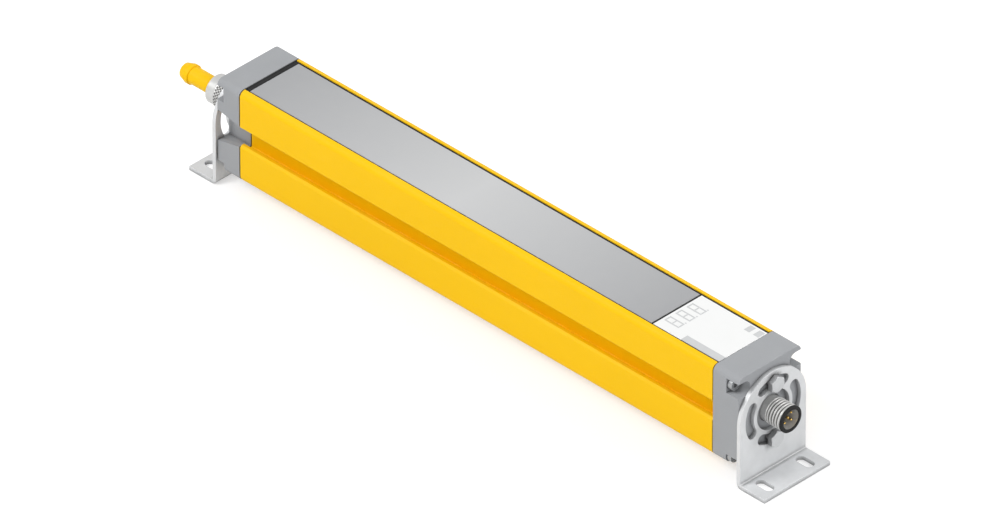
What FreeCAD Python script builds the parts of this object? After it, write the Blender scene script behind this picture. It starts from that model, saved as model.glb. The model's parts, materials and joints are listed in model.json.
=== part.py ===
import FreeCAD, Part

import math
import os
import re

import Sketcher

# Safety light curtain: an extruded housing with a lens along its top, moulded end caps,
# a cable connector at one end, a closing plug at the other and two swivelling brackets.
# Lengths are in millimetres. X runs along the housing towards the cable end, Y across it
# and Z up. The origin is under the middle of the whole object, on the mounting surface.

SIZES = {
    # Housing, over both end caps
    "housing_length": 300.0,
    "body_width": 36.0,
    "body_height": 45.0,
    "top_corner": 3.1,
    "bottom_corner": 3.2,
    "wall": 1.6,
    # Mounting slots along both sides
    "slot_opening": 10.2,
    "slot_channel": 15.5,
    "slot_depth": 6.7,
    "slot_lip": 2.3,
    "slot_bevel": 1.0,
    "slot_wall": 1.6,
    # Screws that hold the caps, and the ports they run in
    "screw_inset": 3.2,
    "upper_screw_drop": 6.2,
    "screw_radius": 1.5,
    "screw_reach": 9.0,
    "port_wall": 1.4,
    "port_mouth": 1.6,
    "screw_head_radius": 2.75,
    "screw_head_height": 2.8,
    "screw_socket": 2.5,
    "screw_socket_depth": 1.4,
    "screw_pocket_radius": 3.6,
    "thread_play": 0.03,
    "hole_play": 0.1,
    # End caps and their gaskets
    "plug_end_cap_length": 12.8,
    "cable_end_cap_length": 14.4,
    "plug_end_pocket_depth": 3.75,
    "cable_end_pocket_depth": 7.0,
    "plug_end_head_sink": 3.0,
    "cable_end_head_sink": 0.4,
    "cap_wall": 7.0,
    "cap_edge_round": 0.4,
    "cap_rim": 5.0,
    "cap_shelf": 1.2,
    "cap_gasket": 0.5,
    "gasket_inset": 0.4,
    # Window, its seals and the display panel at the cable end
    "window_width": 29.8,
    "window_recess": 0.3,
    "window_thickness": 2.2,
    "window_play": 0.05,
    "window_chamfer": 0.25,
    "window_gasket": 1.0,
    "gasket_width": 1.8,
    "seal_lip": 0.8,
    "lip_drop": 0.15,
    "end_seal": 1.9,
    "panel_length": 38.0,
    # Digits and indicator windows in the panel
    "digit_height": 8.1,
    "digit_width": 3.7,
    "digit_stroke": 0.65,
    "digit_gap": 0.15,
    "digit_pitch": 6.4,
    "digit_start": 1.9,
    "digit_row_start": 5.8,
    "digit_play": 0.04,
    "guide_base": 1.2,
    "guide_margin": 0.8,
    "indicator_depth": 1.0,
    "indicator_play": 0.03,
    "bar_start": 16.2,
    "bar_width": 3.8,
    "status_start": 29.3,
    "status_length": 3.0,
    "status_width": 4.0,
    "status_pitch": 5.1,
    "status_inset": 1.1,
    # Optics along the window
    "beam_pitch": 20.0,
    "tunnel_top_half": 6.0,
    "tunnel_foot_half": 2.2,
    "chassis_stem": 16.3,
    "chassis_flange": 1.5,
    "chassis_play": 0.2,
    "chassis_end_gap": 1.0,
    "lens_strip_half": 11.5,
    "lens_strip": 2.0,
    "lens_radius": 6.4,
    "lens_rise": 1.6,
    "diode_half": 1.5,
    "diode_height": 1.2,
    # Circuit boards and what they carry
    "board": 1.6,
    "board_play": 0.2,
    "board_end_gap": 0.5,
    "header_length": 8.0,
    "header_half": 6.0,
    "header_gap": 1.25,
    "stack_length": 20.0,
    "stack_half": 2.5,
    "stack_gap": 4.0,
    "processor_side": 10.0,
    "processor_height": 1.4,
    "processor_start": 60.0,
    "processor_pitch": 40.0,
    "driver_length": 6.5,
    "driver_width": 7.0,
    "driver_height": 2.0,
    "driver_offset": 3.0,
    "driver_pitch": 12.0,
    "capacitor_radius": 3.0,
    "capacitor_gap": 1.05,
    "capacitor_offset": 5.5,
    "capacitor_pitch": 8.0,
    "capacitor_back": 34.0,
    "inductor_side": 8.0,
    "inductor_gap": 2.25,
    "inductor_back": 66.0,
    "module_height": 3.2,
    "display_play": 0.4,
    "display_wall": 1.5,
    "display_end_gap": 1.5,
    "riser_length": 22.0,
    "riser_gap": 0.5,
    "led_length": 1.6,
    "led_width": 1.0,
    "led_height": 0.8,
    "led_pitch": 2.6,
    # Connectors at both ends
    "shell_radius": 6.0,
    "shell_reach": 12.2,
    "shell_chamfer": 0.5,
    "shell_base_length": 3.0,
    "shell_base_relief": 0.25,
    "shell_rear_radius": 7.5,
    "shell_rear_proud": 1.2,
    "shell_play": 0.05,
    "bore_front": 3.0,
    "connector_seal": 0.5,
    "socket_radius": 4.45,
    "socket_depth": 8.2,
    "carrier_play": 0.05,
    "contact_radius": 0.5,
    "contact_circle": 2.6,
    "contact_play": 0.04,
    "contact_drop": 1.5,
    "contact_tip": 0.35,
    "contact_tail": 0.6,
    # Closing plug: coupling nut and moulded body
    "plug_reach": 38.0,
    "nut_start": 5.0,
    "nut_length": 14.2,
    "nut_radius": 7.0,
    "nut_lip": 1.5,
    "nut_smooth": 4.7,
    "nut_step": 0.35,
    "nut_chamfer": 0.5,
    "flute_depth": 0.45,
    "flute_half": 0.5,
    "flutes": 24,
    "plug_seal": 1.0,
    "plug_play": 0.05,
    "plug_flange_radius": 5.8,
    "plug_stem_radius": 3.9,
    "plug_collar_radius": 4.5,
    "plug_collar_length": 2.0,
    "plug_nose_length": 4.0,
    "plug_nose_radius": 3.0,
    "plug_block_radius": 4.2,
    "plug_block_gap": 0.3,
    "plug_block_seat": 2.8,
    # Brackets of bent sheet steel
    "bracket_width": 38.0,
    "bracket_sheet": 2.0,
    "bracket_slip": 0.05,
    "bend_inside": 0.6,
    "foot_reach": 15.9,
    "foot_drop": 7.8,
    "bracket_bore": 9.25,
    "arc_slot_radius": 13.5,
    "arc_slot_half": 2.4,
    "arc_slot_turn": 28.0,
    "foot_slot_centre": 8.9,
    "foot_slot_length": 9.0,
    "foot_slot_radius": 2.2,
    "foot_slot_spacing": 23.2,
    # Bolts that clamp the brackets, and the threaded inserts they screw into
    "bolt_radius": 2.0,
    "bolt_across": 7.0,
    "bolt_head": 2.8,
    "bolt_end_gap": 0.8,
    "insert_radius": 2.8,
    "insert_length": 6.0,
}

# Places that several pieces share. X is from the plug end's outer face and Z from the
# swivel axis, which is the middle of the housing's section.

SIDE = "(body_width / 2)"
TOP = "(body_height / 2)"
TOP_ROUND = "min(top_corner; 0.95 * (body_width - window_width) / 2)"
AXIS_HEIGHT = "(foot_drop + body_height / 2)"
PLUG_FACE = "((plug_reach - foot_reach - housing_length) / 2)"
CABLE_FACE = "((plug_reach - foot_reach + housing_length) / 2)"
PORT_ACROSS = "(body_width / 2 - screw_inset)"
UPPER_PORT = "(body_height / 2 - upper_screw_drop)"
LOWER_PORT = "(screw_inset - body_height / 2)"
BOSS_HALF = "(screw_radius + port_wall)"
RECESS_HALF = "(body_height / 2 - cap_rim)"
BOSS_INNER = "(body_width / 2 - screw_inset - screw_radius - port_wall)"
SLOT_BACK = "(body_width / 2 - slot_depth)"
CORE_HALF = "(body_width / 2 - slot_depth - slot_wall)"
DECK = "(slot_channel / 2 + slot_wall)"
WINDOW_TOP = "(body_height / 2 - window_recess)"
WINDOW_FOOT = "(body_height / 2 - window_recess - window_thickness)"
LEDGE = "(body_height / 2 - window_recess - window_thickness - window_gasket)"
PROFILE_START = "(plug_end_cap_length + cap_gasket)"
PROFILE_END = "(housing_length - cable_end_cap_length - cap_gasket)"
WINDOW_START = f"({PROFILE_START} + end_seal)"
PANEL_START = f"({PROFILE_END} - panel_length)"
CHASSIS_START = f"({WINDOW_START} + chassis_end_gap)"
CHASSIS_END = f"({PANEL_START} - chassis_end_gap)"
CHASSIS_FOOT = f"({DECK} - chassis_stem)"
SENSOR_FOOT = f"({CHASSIS_FOOT} - board)"
MAIN_BOARD_FOOT = f"({LOWER_PORT} + {BOSS_HALF})"
MAIN_BOARD_TOP = f"({MAIN_BOARD_FOOT} + board)"
BEAM_GAPS = f"floor(({CHASSIS_END} - {CHASSIS_START} - beam_pitch) / beam_pitch)"
FIRST_BEAM = f"(({CHASSIS_START} + {CHASSIS_END} - beam_pitch * {BEAM_GAPS}) / 2)"
GUIDE_FOOT = f"({WINDOW_FOOT} - guide_base)"
DISPLAY_TOP = f"({GUIDE_FOOT} - module_height)"
DISPLAY_FOOT = f"({DISPLAY_TOP} - board)"
DISPLAY_HALF = f"({BOSS_INNER} - display_play)"
DISPLAY_START = f"({PANEL_START} + display_end_gap)"
DISPLAY_END = f"({PROFILE_END} - display_end_gap)"
WINDOW_HALF = "(window_width / 2 - seal_lip - 2 * window_play)"
GASKET_HALF = "(window_width / 2 - window_play)"
FIRST_DIGIT = "(digit_row_start + digit_width / 2 - window_width / 2)"
DIGIT_CENTRE = f"({PANEL_START} + digit_start + digit_height / 2)"
SHELL_SHOULDER = "(0 - bore_front - connector_seal)"
SHELL_REAR = "(0 - cap_wall - shell_rear_proud)"
SOCKET_FLOOR = "(shell_reach - socket_depth)"
CONTACT_END = "(shell_reach - contact_drop)"
PLUG_FLANGE = "(shell_reach + plug_seal)"
NUT_END = "(nut_start + nut_length)"
BOLT_SEAT = "(bracket_sheet + 2 * bracket_slip)"

ENDS = ("plug_end", "cable_end")

doc = FreeCAD.newDocument("light_curtain")
sheet = doc.addObject("Spreadsheet::Sheet", "Sizes")
for row, (alias, number) in enumerate(SIZES.items(), start=1):
    sheet.set(f"A{row}", alias)
    sheet.set(f"B{row}", str(number))
    sheet.setAlias(f"B{row}", alias)
doc.recompute()

pieces = []


def value(text):
    """The number that a formula of size names comes to."""
    return float(sheet.evalExpression(text))


def bind(item, field, text):
    """Tie a property to a formula of size names."""
    names = re.sub(r"[a-z_]+", lambda word: f"Sizes.{word[0]}" if word[0] in SIZES else word[0], text)
    item.setExpression(field, names)


def name_piece(item, label):
    """Give a sub-part its name and list it for export."""
    item.Label = label
    pieces.append(item)


class Drawing:
    """A sketch on one of a piece's own planes, each of its sizes tied to the sheet."""

    def __init__(self, body, plane, lift, shift):
        self.sketch = body.newObject("Sketcher::SketchObject", "Sketch")
        face = next(item for item in body.Origin.OriginFeatures if item.Role == plane)
        self.sketch.AttachmentSupport = (face, [""])
        self.sketch.MapMode = "FlatFace"
        bind(self.sketch, "AttachmentOffset.Base.z", lift)
        bind(self.sketch, "AttachmentOffset.Base.x", shift)

    def line(self, start, end):
        ends = [FreeCAD.Vector(*point) for point in (start, end)]
        return self.sketch.addGeometry(Part.LineSegment(*ends))

    def arc(self, centre, radius, first, last):
        circle = Part.Circle(FreeCAD.Vector(*centre), FreeCAD.Vector(0, 0, 1), radius)
        return self.sketch.addGeometry(Part.ArcOfCircle(circle, first, last))

    def join(self, kind, *places):
        self.sketch.addConstraint(Sketcher.Constraint(kind, *places))

    def hold(self, kind, text, *places):
        """Add a dimension and tie it to the sheet."""
        number = self.sketch.addConstraint(Sketcher.Constraint(kind, *places, value(text)))
        bind(self.sketch, f"Constraints[{number}]", text)

    def hold_point(self, geometry, end, across, up):
        self.hold("DistanceX", across, -1, 1, geometry, end)
        self.hold("DistanceY", up, -1, 1, geometry, end)

    def circle(self, across, up, radius):
        middle = FreeCAD.Vector(value(across), value(up), 0)
        number = self.sketch.addGeometry(Part.Circle(middle, FreeCAD.Vector(0, 0, 1), value(radius)))
        self.hold_point(number, 3, across, up)
        self.hold("Radius", radius, number)

    def rectangle(self, left, right, low, high):
        self.outline([(left, low), (right, low), (right, high), (left, high)])

    def square(self, half):
        """A square about the sketch's origin."""
        self.rectangle(f"0 - {half}", half, f"0 - {half}", half)

    def outline(self, corners):
        """Close an outline through corners, each (across, up) or (across, up, rounding).

        A rounded corner joins a level side and an upright one.
        """
        turns = []
        for place, corner in enumerate(corners):
            before, after = corners[place - 1], corners[(place + 1) % len(corners)]
            turns.append(Turn(before, corner, after))
        sides = []
        for place, turn in enumerate(turns):
            following = turns[(place + 1) % len(turns)]
            start = tuple(value(text) for text in turn.leave)
            end = tuple(value(text) for text in following.enter)
            sides.append(self.line(start, end))
        for place, turn in enumerate(turns):
            self.hold_point(sides[place], 1, *turn.leave)
            if not turn.rounding:
                self.join("Coincident", sides[place - 1], 2, sides[place], 1)
                continue
            self.hold_point(sides[place - 1], 2, *turn.enter)
            curve = self.arc(turn.centre, value(turn.rounding), turn.first, turn.first + math.pi / 2)
            into, out = (1, 2) if turn.leftward else (2, 1)
            self.join("Coincident", sides[place - 1], 2, curve, into)
            self.join("Coincident", sides[place], 1, curve, out)
            self.hold("Radius", turn.rounding, curve)

    def stadium(self, left, right, up, radius):
        """A level slot with round ends about two centres."""
        size = value(radius)
        ends = [(value(left), value(up)), (value(right), value(up))]
        near = self.arc(ends[0], size, math.pi / 2, 3 * math.pi / 2)
        far = self.arc(ends[1], size, -math.pi / 2, math.pi / 2)
        below = self.line((ends[0][0], ends[0][1] - size), (ends[1][0], ends[1][1] - size))
        above = self.line((ends[1][0], ends[1][1] + size), (ends[0][0], ends[0][1] + size))
        self.join("Tangent", near, 2, below, 1)
        self.join("Tangent", below, 2, far, 1)
        self.join("Tangent", far, 2, above, 1)
        self.join("Tangent", above, 2, near, 1)
        self.hold_point(near, 3, left, up)
        self.hold("DistanceX", right, -1, 1, far, 3)
        self.hold("Radius", radius, near)

    def arc_slot(self, radius, half, turn):
        """A curved slot about the sketch's origin, centred on its upward axis."""
        middle, width, angle = value(radius), value(half), math.radians(value(turn))
        top = math.pi / 2
        ends = [(middle * math.sin(side * angle), middle * math.cos(angle)) for side in (-1, 1)]
        outer = self.arc((0, 0), middle + width, top - angle, top + angle)
        inner = self.arc((0, 0), middle - width, top - angle, top + angle)
        left = self.arc(ends[0], width, top + angle, top + angle + math.pi)
        right = self.arc(ends[1], width, top - angle - math.pi, top - angle)
        self.join("Coincident", outer, 3, -1, 1)
        self.join("Coincident", inner, 3, -1, 1)
        self.join("Tangent", outer, 2, left, 1)
        self.join("Tangent", left, 2, inner, 2)
        self.join("Tangent", inner, 1, right, 1)
        self.join("Tangent", right, 2, outer, 1)
        self.hold("Radius", f"{radius} + {half}", outer)
        self.hold("Radius", f"{radius} - {half}", inner)
        self.hold("DistanceX", f"-{radius} * sin({turn})", -1, 1, left, 3)
        self.hold("DistanceX", f"{radius} * sin({turn})", -1, 1, right, 3)

    def hexagon(self, across, up, flats):
        """A hexagon with two upright flats, this far apart."""
        corners = []
        for corner in range(6):
            angle = 30 + 60 * corner
            reach = f"{flats} / 2 / cos(30)"
            corners.append((f"{across} + {reach} * cos({angle})", f"{up} + {reach} * sin({angle})"))
        self.outline(corners)

    def contacts(self, radius):
        """One circle in the middle and four round it."""
        self.circle("0", "0", radius)
        for turn in (45, 135, 225, 315):
            self.circle(f"contact_circle * cos({turn})", f"contact_circle * sin({turn})", radius)


class Turn:
    """One corner of an outline: where the sides enter and leave it, rounded or not."""

    def __init__(self, before, corner, after):
        self.rounding = corner[2] if len(corner) > 2 else None
        self.enter = corner[:2]
        self.leave = corner[:2]
        if not self.rounding:
            return
        incoming = self.heading(before, corner)
        outgoing = self.heading(corner, after)
        radius = value(self.rounding)
        self.enter = self.moved(corner, incoming, -1)
        self.leave = self.moved(corner, outgoing, 1)
        self.leftward = incoming[0] * outgoing[1] - incoming[1] * outgoing[0] > 0
        spot = [value(text) for text in corner[:2]]
        self.centre = tuple(spot[axis] + radius * (outgoing[axis] - incoming[axis]) for axis in (0, 1))
        start = self.enter if self.leftward else self.leave
        rise = value(start[1]) - self.centre[1]
        run = value(start[0]) - self.centre[0]
        self.first = math.atan2(rise, run)

    def heading(self, start, end):
        """The level or upright direction from one corner to the next."""
        run = value(end[0]) - value(start[0])
        rise = value(end[1]) - value(start[1])
        if abs(run) > abs(rise):
            return (math.copysign(1, run), 0)
        return (0, math.copysign(1, rise))

    def moved(self, corner, heading, sense):
        """The corner's formulas, one rounding along a heading or back from it."""
        moved = []
        for text, step in zip(corner[:2], heading):
            factor = int(sense * step)
            moved.append(f"{text} + {factor} * {self.rounding}" if factor else text)
        return tuple(moved)


class Piece:
    """A body of the part, made of drawings and the features that use them."""

    def __init__(self, label):
        self.body = doc.addObject("PartDesign::Body", label)
        name_piece(self.body, label)

    def draw(self, plane, lift="0", shift="0"):
        return Drawing(self.body, plane, lift, shift)

    def add(self, kind, drawing):
        feature = self.body.newObject(f"PartDesign::{kind}", kind)
        feature.Profile = drawing.sketch
        return feature

    def pad(self, drawing, length, both_ways=False):
        """Build up from the drawing's plane."""
        feature = self.add("Pad", drawing)
        feature.SideType = "Symmetric" if both_ways else "One side"
        bind(feature, "Length", length)
        return feature

    def cut(self, drawing, length, both_ways=False):
        """Cut from the drawing's plane the way that a pad would build."""
        feature = self.add("Pocket", drawing)
        feature.SideType = "Symmetric" if both_ways else "One side"
        feature.Reversed = not both_ways
        bind(feature, "Length", length)
        return feature

    def tapered_cut(self, along, low, high):
        """Cut a square pyramid's stump, upright, between two levels, each (height, half side)."""
        feature = self.body.newObject("PartDesign::SubtractiveWedge", "Taper")
        feature.AttachmentSupport = (self.origin("XZ_Plane"), [""])
        feature.MapMode = "FlatFace"
        bind(feature, "AttachmentOffset.Base.x", along)
        for (height, half), level, sides in ((low, "Ymin", ("X", "Z")), (high, "Ymax", ("X2", "Z2"))):
            bind(feature, level, height)
            for side in sides:
                bind(feature, f"{side}min", f"0 - {half}")
                bind(feature, f"{side}max", half)
        return feature

    def turn(self, drawing, axis):
        """Turn the drawing right round one of its own axes."""
        feature = self.add("Revolution", drawing)
        feature.ReferenceAxis = (drawing.sketch, [axis])
        feature.Angle = 360
        return feature

    def origin(self, role):
        return next(item for item in self.body.Origin.OriginFeatures if item.Role == role)

    def mirror(self, *features):
        """Repeat features on the other side of the lengthwise middle plane."""
        copy = self.body.newObject("PartDesign::Mirrored", "Mirrored")
        copy.Originals = list(features)
        copy.MirrorPlane = (self.origin("XZ_Plane"), [""])
        self.body.Tip = copy
        return copy

    def row(self, feature, axis, spacing, count):
        copy = self.body.newObject("PartDesign::LinearPattern", "Row")
        copy.Originals = [feature]
        copy.Direction = (self.origin(axis), [""])
        copy.Mode = "Spacing"
        bind(copy, "Offset", spacing)
        bind(copy, "Occurrences", count)
        self.body.Tip = copy
        return copy

    def ring(self, feature, count):
        """Repeat a feature evenly round the lengthwise axis."""
        copy = self.body.newObject("PartDesign::PolarPattern", "Ring")
        copy.Originals = [feature]
        copy.Axis = (self.origin("X_Axis"), [""])
        copy.Angle = 360
        bind(copy, "Occurrences", count)
        self.body.Tip = copy
        return copy

    def ease(self, kind, feature, chosen, size):
        """Fillet or chamfer the feature's edges that the test picks out."""
        doc.recompute()
        edges = feature.Shape.Edges
        names = [f"Edge{number}" for number, edge in enumerate(edges, start=1) if chosen(edge)]
        eased = self.body.newObject(f"PartDesign::{kind}", kind)
        eased.Base = (feature, names)
        bind(eased, "Radius" if kind == "Fillet" else "Size", size)
        return eased

    def settle(self, end=None):
        """Put the piece in place: at one end, where its X points outwards, or along the housing."""
        if end == "cable_end":
            face = CABLE_FACE
        else:
            face = PLUG_FACE
        if end == "plug_end":
            self.body.Placement.Rotation = FreeCAD.Rotation(FreeCAD.Vector(0, 0, 1), 180)
        bind(self.body, "Placement.Base.x", face)
        bind(self.body, "Placement.Base.z", AXIS_HEIGHT)


def block(label, left, right, near, far, low, high):
    """A plain block between three pairs of planes, X from the plug end's face."""
    box = doc.addObject("Part::Box", label)
    name_piece(box, label)
    bind(box, "Length", f"{right} - ({left})")
    bind(box, "Width", f"{far} - ({near})")
    bind(box, "Height", f"{high} - ({low})")
    bind(box, "Placement.Base.x", f"{PLUG_FACE} + {left}")
    bind(box, "Placement.Base.y", near)
    bind(box, "Placement.Base.z", f"{AXIS_HEIGHT} + {low}")


def mirrored(half):
    """A closed outline from its right half, listed upwards from the lower middle."""
    other = [(f"0 - ({corner[0]})",) + corner[1:] for corner in reversed(half)]
    return half + other


# Housing: one extrusion, open along the top, with a slot in each side and four screw ports


def housing_extrusion():
    piece = Piece("housing_extrusion")
    section = piece.draw("YZ_Plane", PROFILE_START)
    section.outline(mirrored([
        (SIDE, f"0 - {TOP}", "bottom_corner"),
        (SIDE, "0 - slot_opening / 2"),
        (f"{SIDE} - slot_bevel", "slot_bevel - slot_opening / 2"),
        (f"{SIDE} - slot_lip", "slot_bevel - slot_opening / 2"),
        (f"{SIDE} - slot_lip", "0 - slot_channel / 2"),
        (SLOT_BACK, "0 - slot_channel / 2"),
        (SLOT_BACK, "slot_channel / 2"),
        (f"{SIDE} - slot_lip", "slot_channel / 2"),
        (f"{SIDE} - slot_lip", "slot_opening / 2 - slot_bevel"),
        (f"{SIDE} - slot_bevel", "slot_opening / 2 - slot_bevel"),
        (SIDE, "slot_opening / 2"),
        (SIDE, TOP, TOP_ROUND),
        ("window_width / 2", TOP),
        ("window_width / 2", LEDGE),
        (BOSS_INNER, LEDGE),
        (BOSS_INNER, f"{UPPER_PORT} - {BOSS_HALF}"),
        (f"{SIDE} - wall", f"{UPPER_PORT} - {BOSS_HALF}"),
        (f"{SIDE} - wall", DECK),
        (CORE_HALF, DECK),
        (CORE_HALF, f"0 - {DECK}"),
        (f"{SIDE} - wall", f"0 - {DECK}"),
        (f"{SIDE} - wall", MAIN_BOARD_FOOT),
        (BOSS_INNER, MAIN_BOARD_FOOT),
        (BOSS_INNER, f"wall - {TOP}"),
    ]))
    length = f"{PROFILE_END} - {PROFILE_START}"
    piece.pad(section, length)
    ports = piece.draw("YZ_Plane", PROFILE_START)
    mouths = piece.draw("YZ_Plane", PROFILE_START)
    for height in (UPPER_PORT, LOWER_PORT):
        ports.circle(PORT_ACROSS, height, "screw_radius + thread_play")
        low, high = f"{height} - port_mouth / 2", f"{height} + port_mouth / 2"
        mouths.rectangle(f"{BOSS_INNER} - hole_play", PORT_ACROSS, low, high)
    piece.mirror(piece.cut(ports, length), piece.cut(mouths, length))
    piece.settle()


# End caps with what seals and fastens them


def end_cap(end):
    piece = Piece(f"{end}_cap")
    length, depth = f"{end}_cap_length", f"{end}_pocket_depth"
    outline = piece.draw("YZ_Plane", f"0 - {length}")
    outline.outline(mirrored([
        (SIDE, f"0 - {TOP}", "bottom_corner"),
        (SIDE, TOP, TOP_ROUND),
    ]))
    solid = piece.pad(outline, length)
    piece.ease("Fillet", solid, lambda edge: edge.BoundBox.XMin > -0.001, "cap_edge_round")

    # Screw pockets with a seat for each head: the upper one opens sideways, the lower one
    # takes the corner off
    pockets = piece.draw("YZ_Plane", f"0 - {depth}")
    pockets.stadium(PORT_ACROSS, f"{SIDE} + screw_pocket_radius", UPPER_PORT, "screw_pocket_radius")
    pockets.circle(PORT_ACROSS, LOWER_PORT, "screw_pocket_radius")
    seat = f"({depth} + {end}_head_sink)"
    seats = piece.draw("YZ_Plane", f"0 - {seat}")
    holes = piece.draw("YZ_Plane", f"0 - {length}")
    for height in (UPPER_PORT, LOWER_PORT):
        seats.circle(PORT_ACROSS, height, "screw_head_radius + hole_play")
        holes.circle(PORT_ACROSS, height, "screw_radius + hole_play")
    cuts = [piece.cut(pockets, depth), piece.cut(seats, seat), piece.cut(holes, length)]

    # The side slots run on through the plug end's cap, their lips flaring open
    if end == "plug_end":
        channel = piece.draw("YZ_Plane", f"0 - {length}")
        channel.rectangle(SLOT_BACK, f"{SIDE} - slot_lip", "0 - slot_channel / 2", "slot_channel / 2")
        cuts.append(piece.cut(channel, length))
        mouth = piece.draw("XZ_Plane", f"0 - {SIDE}")
        mouth.outline([
            (f"0 - {length}", "0 - slot_opening / 2"),
            ("0", "0 - slot_channel / 2"),
            ("0", "slot_channel / 2"),
            (f"0 - {length}", "slot_opening / 2"),
        ])
        cuts.append(piece.cut(mouth, "slot_lip"))
    piece.mirror(*cuts)

    # Stepped bore for the connector, holes for the bolts' inserts, recess for the board
    front = piece.draw("YZ_Plane", "0 - bore_front")
    front.circle("0", "0", "shell_radius + shell_play")
    piece.cut(front, "bore_front")
    rear = piece.draw("YZ_Plane", "0 - cap_wall")
    rear.circle("0", "0", "shell_rear_radius + thread_play")
    piece.cut(rear, "cap_wall - bore_front")
    inserts = piece.draw("YZ_Plane", "0 - insert_length")
    for side in (-1, 1):
        inserts.circle("0", f"{side} * arc_slot_radius", "insert_radius")
    piece.cut(inserts, "insert_length")
    shelf = piece.draw("YZ_Plane", f"0 - {length}")
    shelf.rectangle(f"0 - {CORE_HALF}", CORE_HALF, f"0 - {RECESS_HALF}", RECESS_HALF)
    piece.cut(shelf, "board")
    recess = piece.draw("YZ_Plane", f"board - {length}")
    half, rise = f"({CORE_HALF} - cap_shelf)", f"({RECESS_HALF} - cap_shelf)"
    recess.rectangle(f"0 - {half}", half, f"0 - {rise}", rise)
    piece.cut(recess, f"{length} - board - cap_wall")
    piece.settle(end)


def cap_gasket(end):
    piece = Piece(f"{end}_gasket")
    section = piece.draw("YZ_Plane", f"0 - {end}_cap_length - cap_gasket")
    edge, crown = f"{SIDE} - gasket_inset", f"{TOP} - gasket_inset"
    section.outline(mirrored([
        (edge, f"0 - ({crown})", "bottom_corner"),
        (edge, "0 - slot_channel / 2"),
        (SLOT_BACK, "0 - slot_channel / 2"),
        (SLOT_BACK, "slot_channel / 2"),
        (edge, "slot_channel / 2"),
        (edge, crown, TOP_ROUND),
    ]))
    section.rectangle(f"0 - {CORE_HALF}", CORE_HALF, f"0 - {RECESS_HALF}", RECESS_HALF)
    for side in (-1, 1):
        for height in (UPPER_PORT, LOWER_PORT):
            section.circle(f"{side} * {PORT_ACROSS}", height, "screw_radius + hole_play")
    piece.pad(section, "cap_gasket")
    piece.settle(end)


def cap_screws(end):
    piece = Piece(f"{end}_cap_screws")
    seat = f"({end}_pocket_depth + {end}_head_sink)"
    reach = f"({end}_cap_length + cap_gasket + screw_reach)"
    heads = piece.draw("YZ_Plane", f"0 - {seat}")
    shanks = piece.draw("YZ_Plane", f"0 - {reach}")
    sockets = piece.draw("YZ_Plane", f"screw_head_height - screw_socket_depth - {seat}")
    for height in (UPPER_PORT, LOWER_PORT):
        heads.circle(PORT_ACROSS, height, "screw_head_radius")
        shanks.circle(PORT_ACROSS, height, "screw_radius")
        sockets.hexagon(PORT_ACROSS, height, "screw_socket")
    features = [piece.pad(heads, "screw_head_height"), piece.pad(shanks, f"{reach} - {seat}")]
    features.append(piece.cut(sockets, "screw_socket_depth"))
    piece.mirror(*features)
    piece.settle(end)


def bracket_inserts(end):
    piece = Piece(f"{end}_threaded_inserts")
    rings = piece.draw("YZ_Plane", "0 - insert_length")
    for side in (-1, 1):
        rings.circle("0", f"{side} * arc_slot_radius", "insert_radius")
        rings.circle("0", f"{side} * arc_slot_radius", "bolt_radius + thread_play")
    piece.pad(rings, "insert_length")
    piece.settle(end)


# Connector, the same at both ends: turned shell, moulded carrier, five pins and a small board


def connector_shell(end):
    piece = Piece(f"{end}_connector_shell")
    profile = piece.draw("XZ_Plane")
    profile.outline([
        (SHELL_REAR, "socket_radius"),
        ("shell_reach", "socket_radius"),
        ("shell_reach", "shell_radius - shell_chamfer"),
        ("shell_reach - shell_chamfer", "shell_radius"),
        ("shell_base_length", "shell_radius"),
        ("shell_base_length", "shell_radius - shell_base_relief"),
        (SHELL_SHOULDER, "shell_radius - shell_base_relief"),
        (SHELL_SHOULDER, "shell_rear_radius"),
        (SHELL_REAR, "shell_rear_radius"),
    ])
    piece.turn(profile, "H_Axis")
    piece.settle(end)


def connector_seal(end):
    piece = Piece(f"{end}_connector_seal")
    ring = piece.draw("YZ_Plane", SHELL_SHOULDER)
    ring.circle("0", "0", "shell_rear_radius - hole_play")
    ring.circle("0", "0", "shell_radius + shell_play")
    piece.pad(ring, "connector_seal")
    piece.settle(end)


def contact_carrier(end):
    piece = Piece(f"{end}_contact_carrier")
    section = piece.draw("YZ_Plane", SHELL_REAR)
    section.circle("0", "0", "socket_radius - carrier_play")
    section.contacts("contact_radius + contact_play")
    piece.pad(section, f"{SOCKET_FLOOR} - {SHELL_REAR}")
    piece.settle(end)


def contact_pins(end):
    piece = Piece(f"{end}_contact_pins")
    rear = f"(0 - {end}_cap_length - contact_tail)"
    shanks = piece.draw("YZ_Plane", rear)
    shanks.contacts("contact_radius")
    solid = piece.pad(shanks, f"{CONTACT_END} - {rear}")
    front = value(CONTACT_END) - 0.001
    piece.ease("Chamfer", solid, lambda edge: edge.BoundBox.XMin > front, "contact_tip")
    piece.settle(end)


def connector_board(end):
    piece = Piece(f"{end}_connector_board")
    section = piece.draw("YZ_Plane", f"0 - {end}_cap_length")
    half, rise = f"({CORE_HALF} - board_play)", f"({RECESS_HALF} - board_play)"
    section.rectangle(f"0 - {half}", half, f"0 - {rise}", rise)
    section.contacts("contact_radius + contact_play")
    piece.pad(section, "board")
    piece.settle(end)


def board_headers():
    """Headers that join the small upright boards to the long board."""
    top = f"({SENSOR_FOOT} - header_gap)"
    inner = "(housing_length - cable_end_cap_length)"
    spans = (("plug_end_cap_length", "plug_end_cap_length + header_length"), (f"{inner} - header_length", inner))
    for end, (left, right) in zip(ENDS, spans):
        block(f"{end}_board_header", left, right, "0 - header_half", "header_half", MAIN_BOARD_TOP, top)


# Closing plug on the plug end's connector


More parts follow.
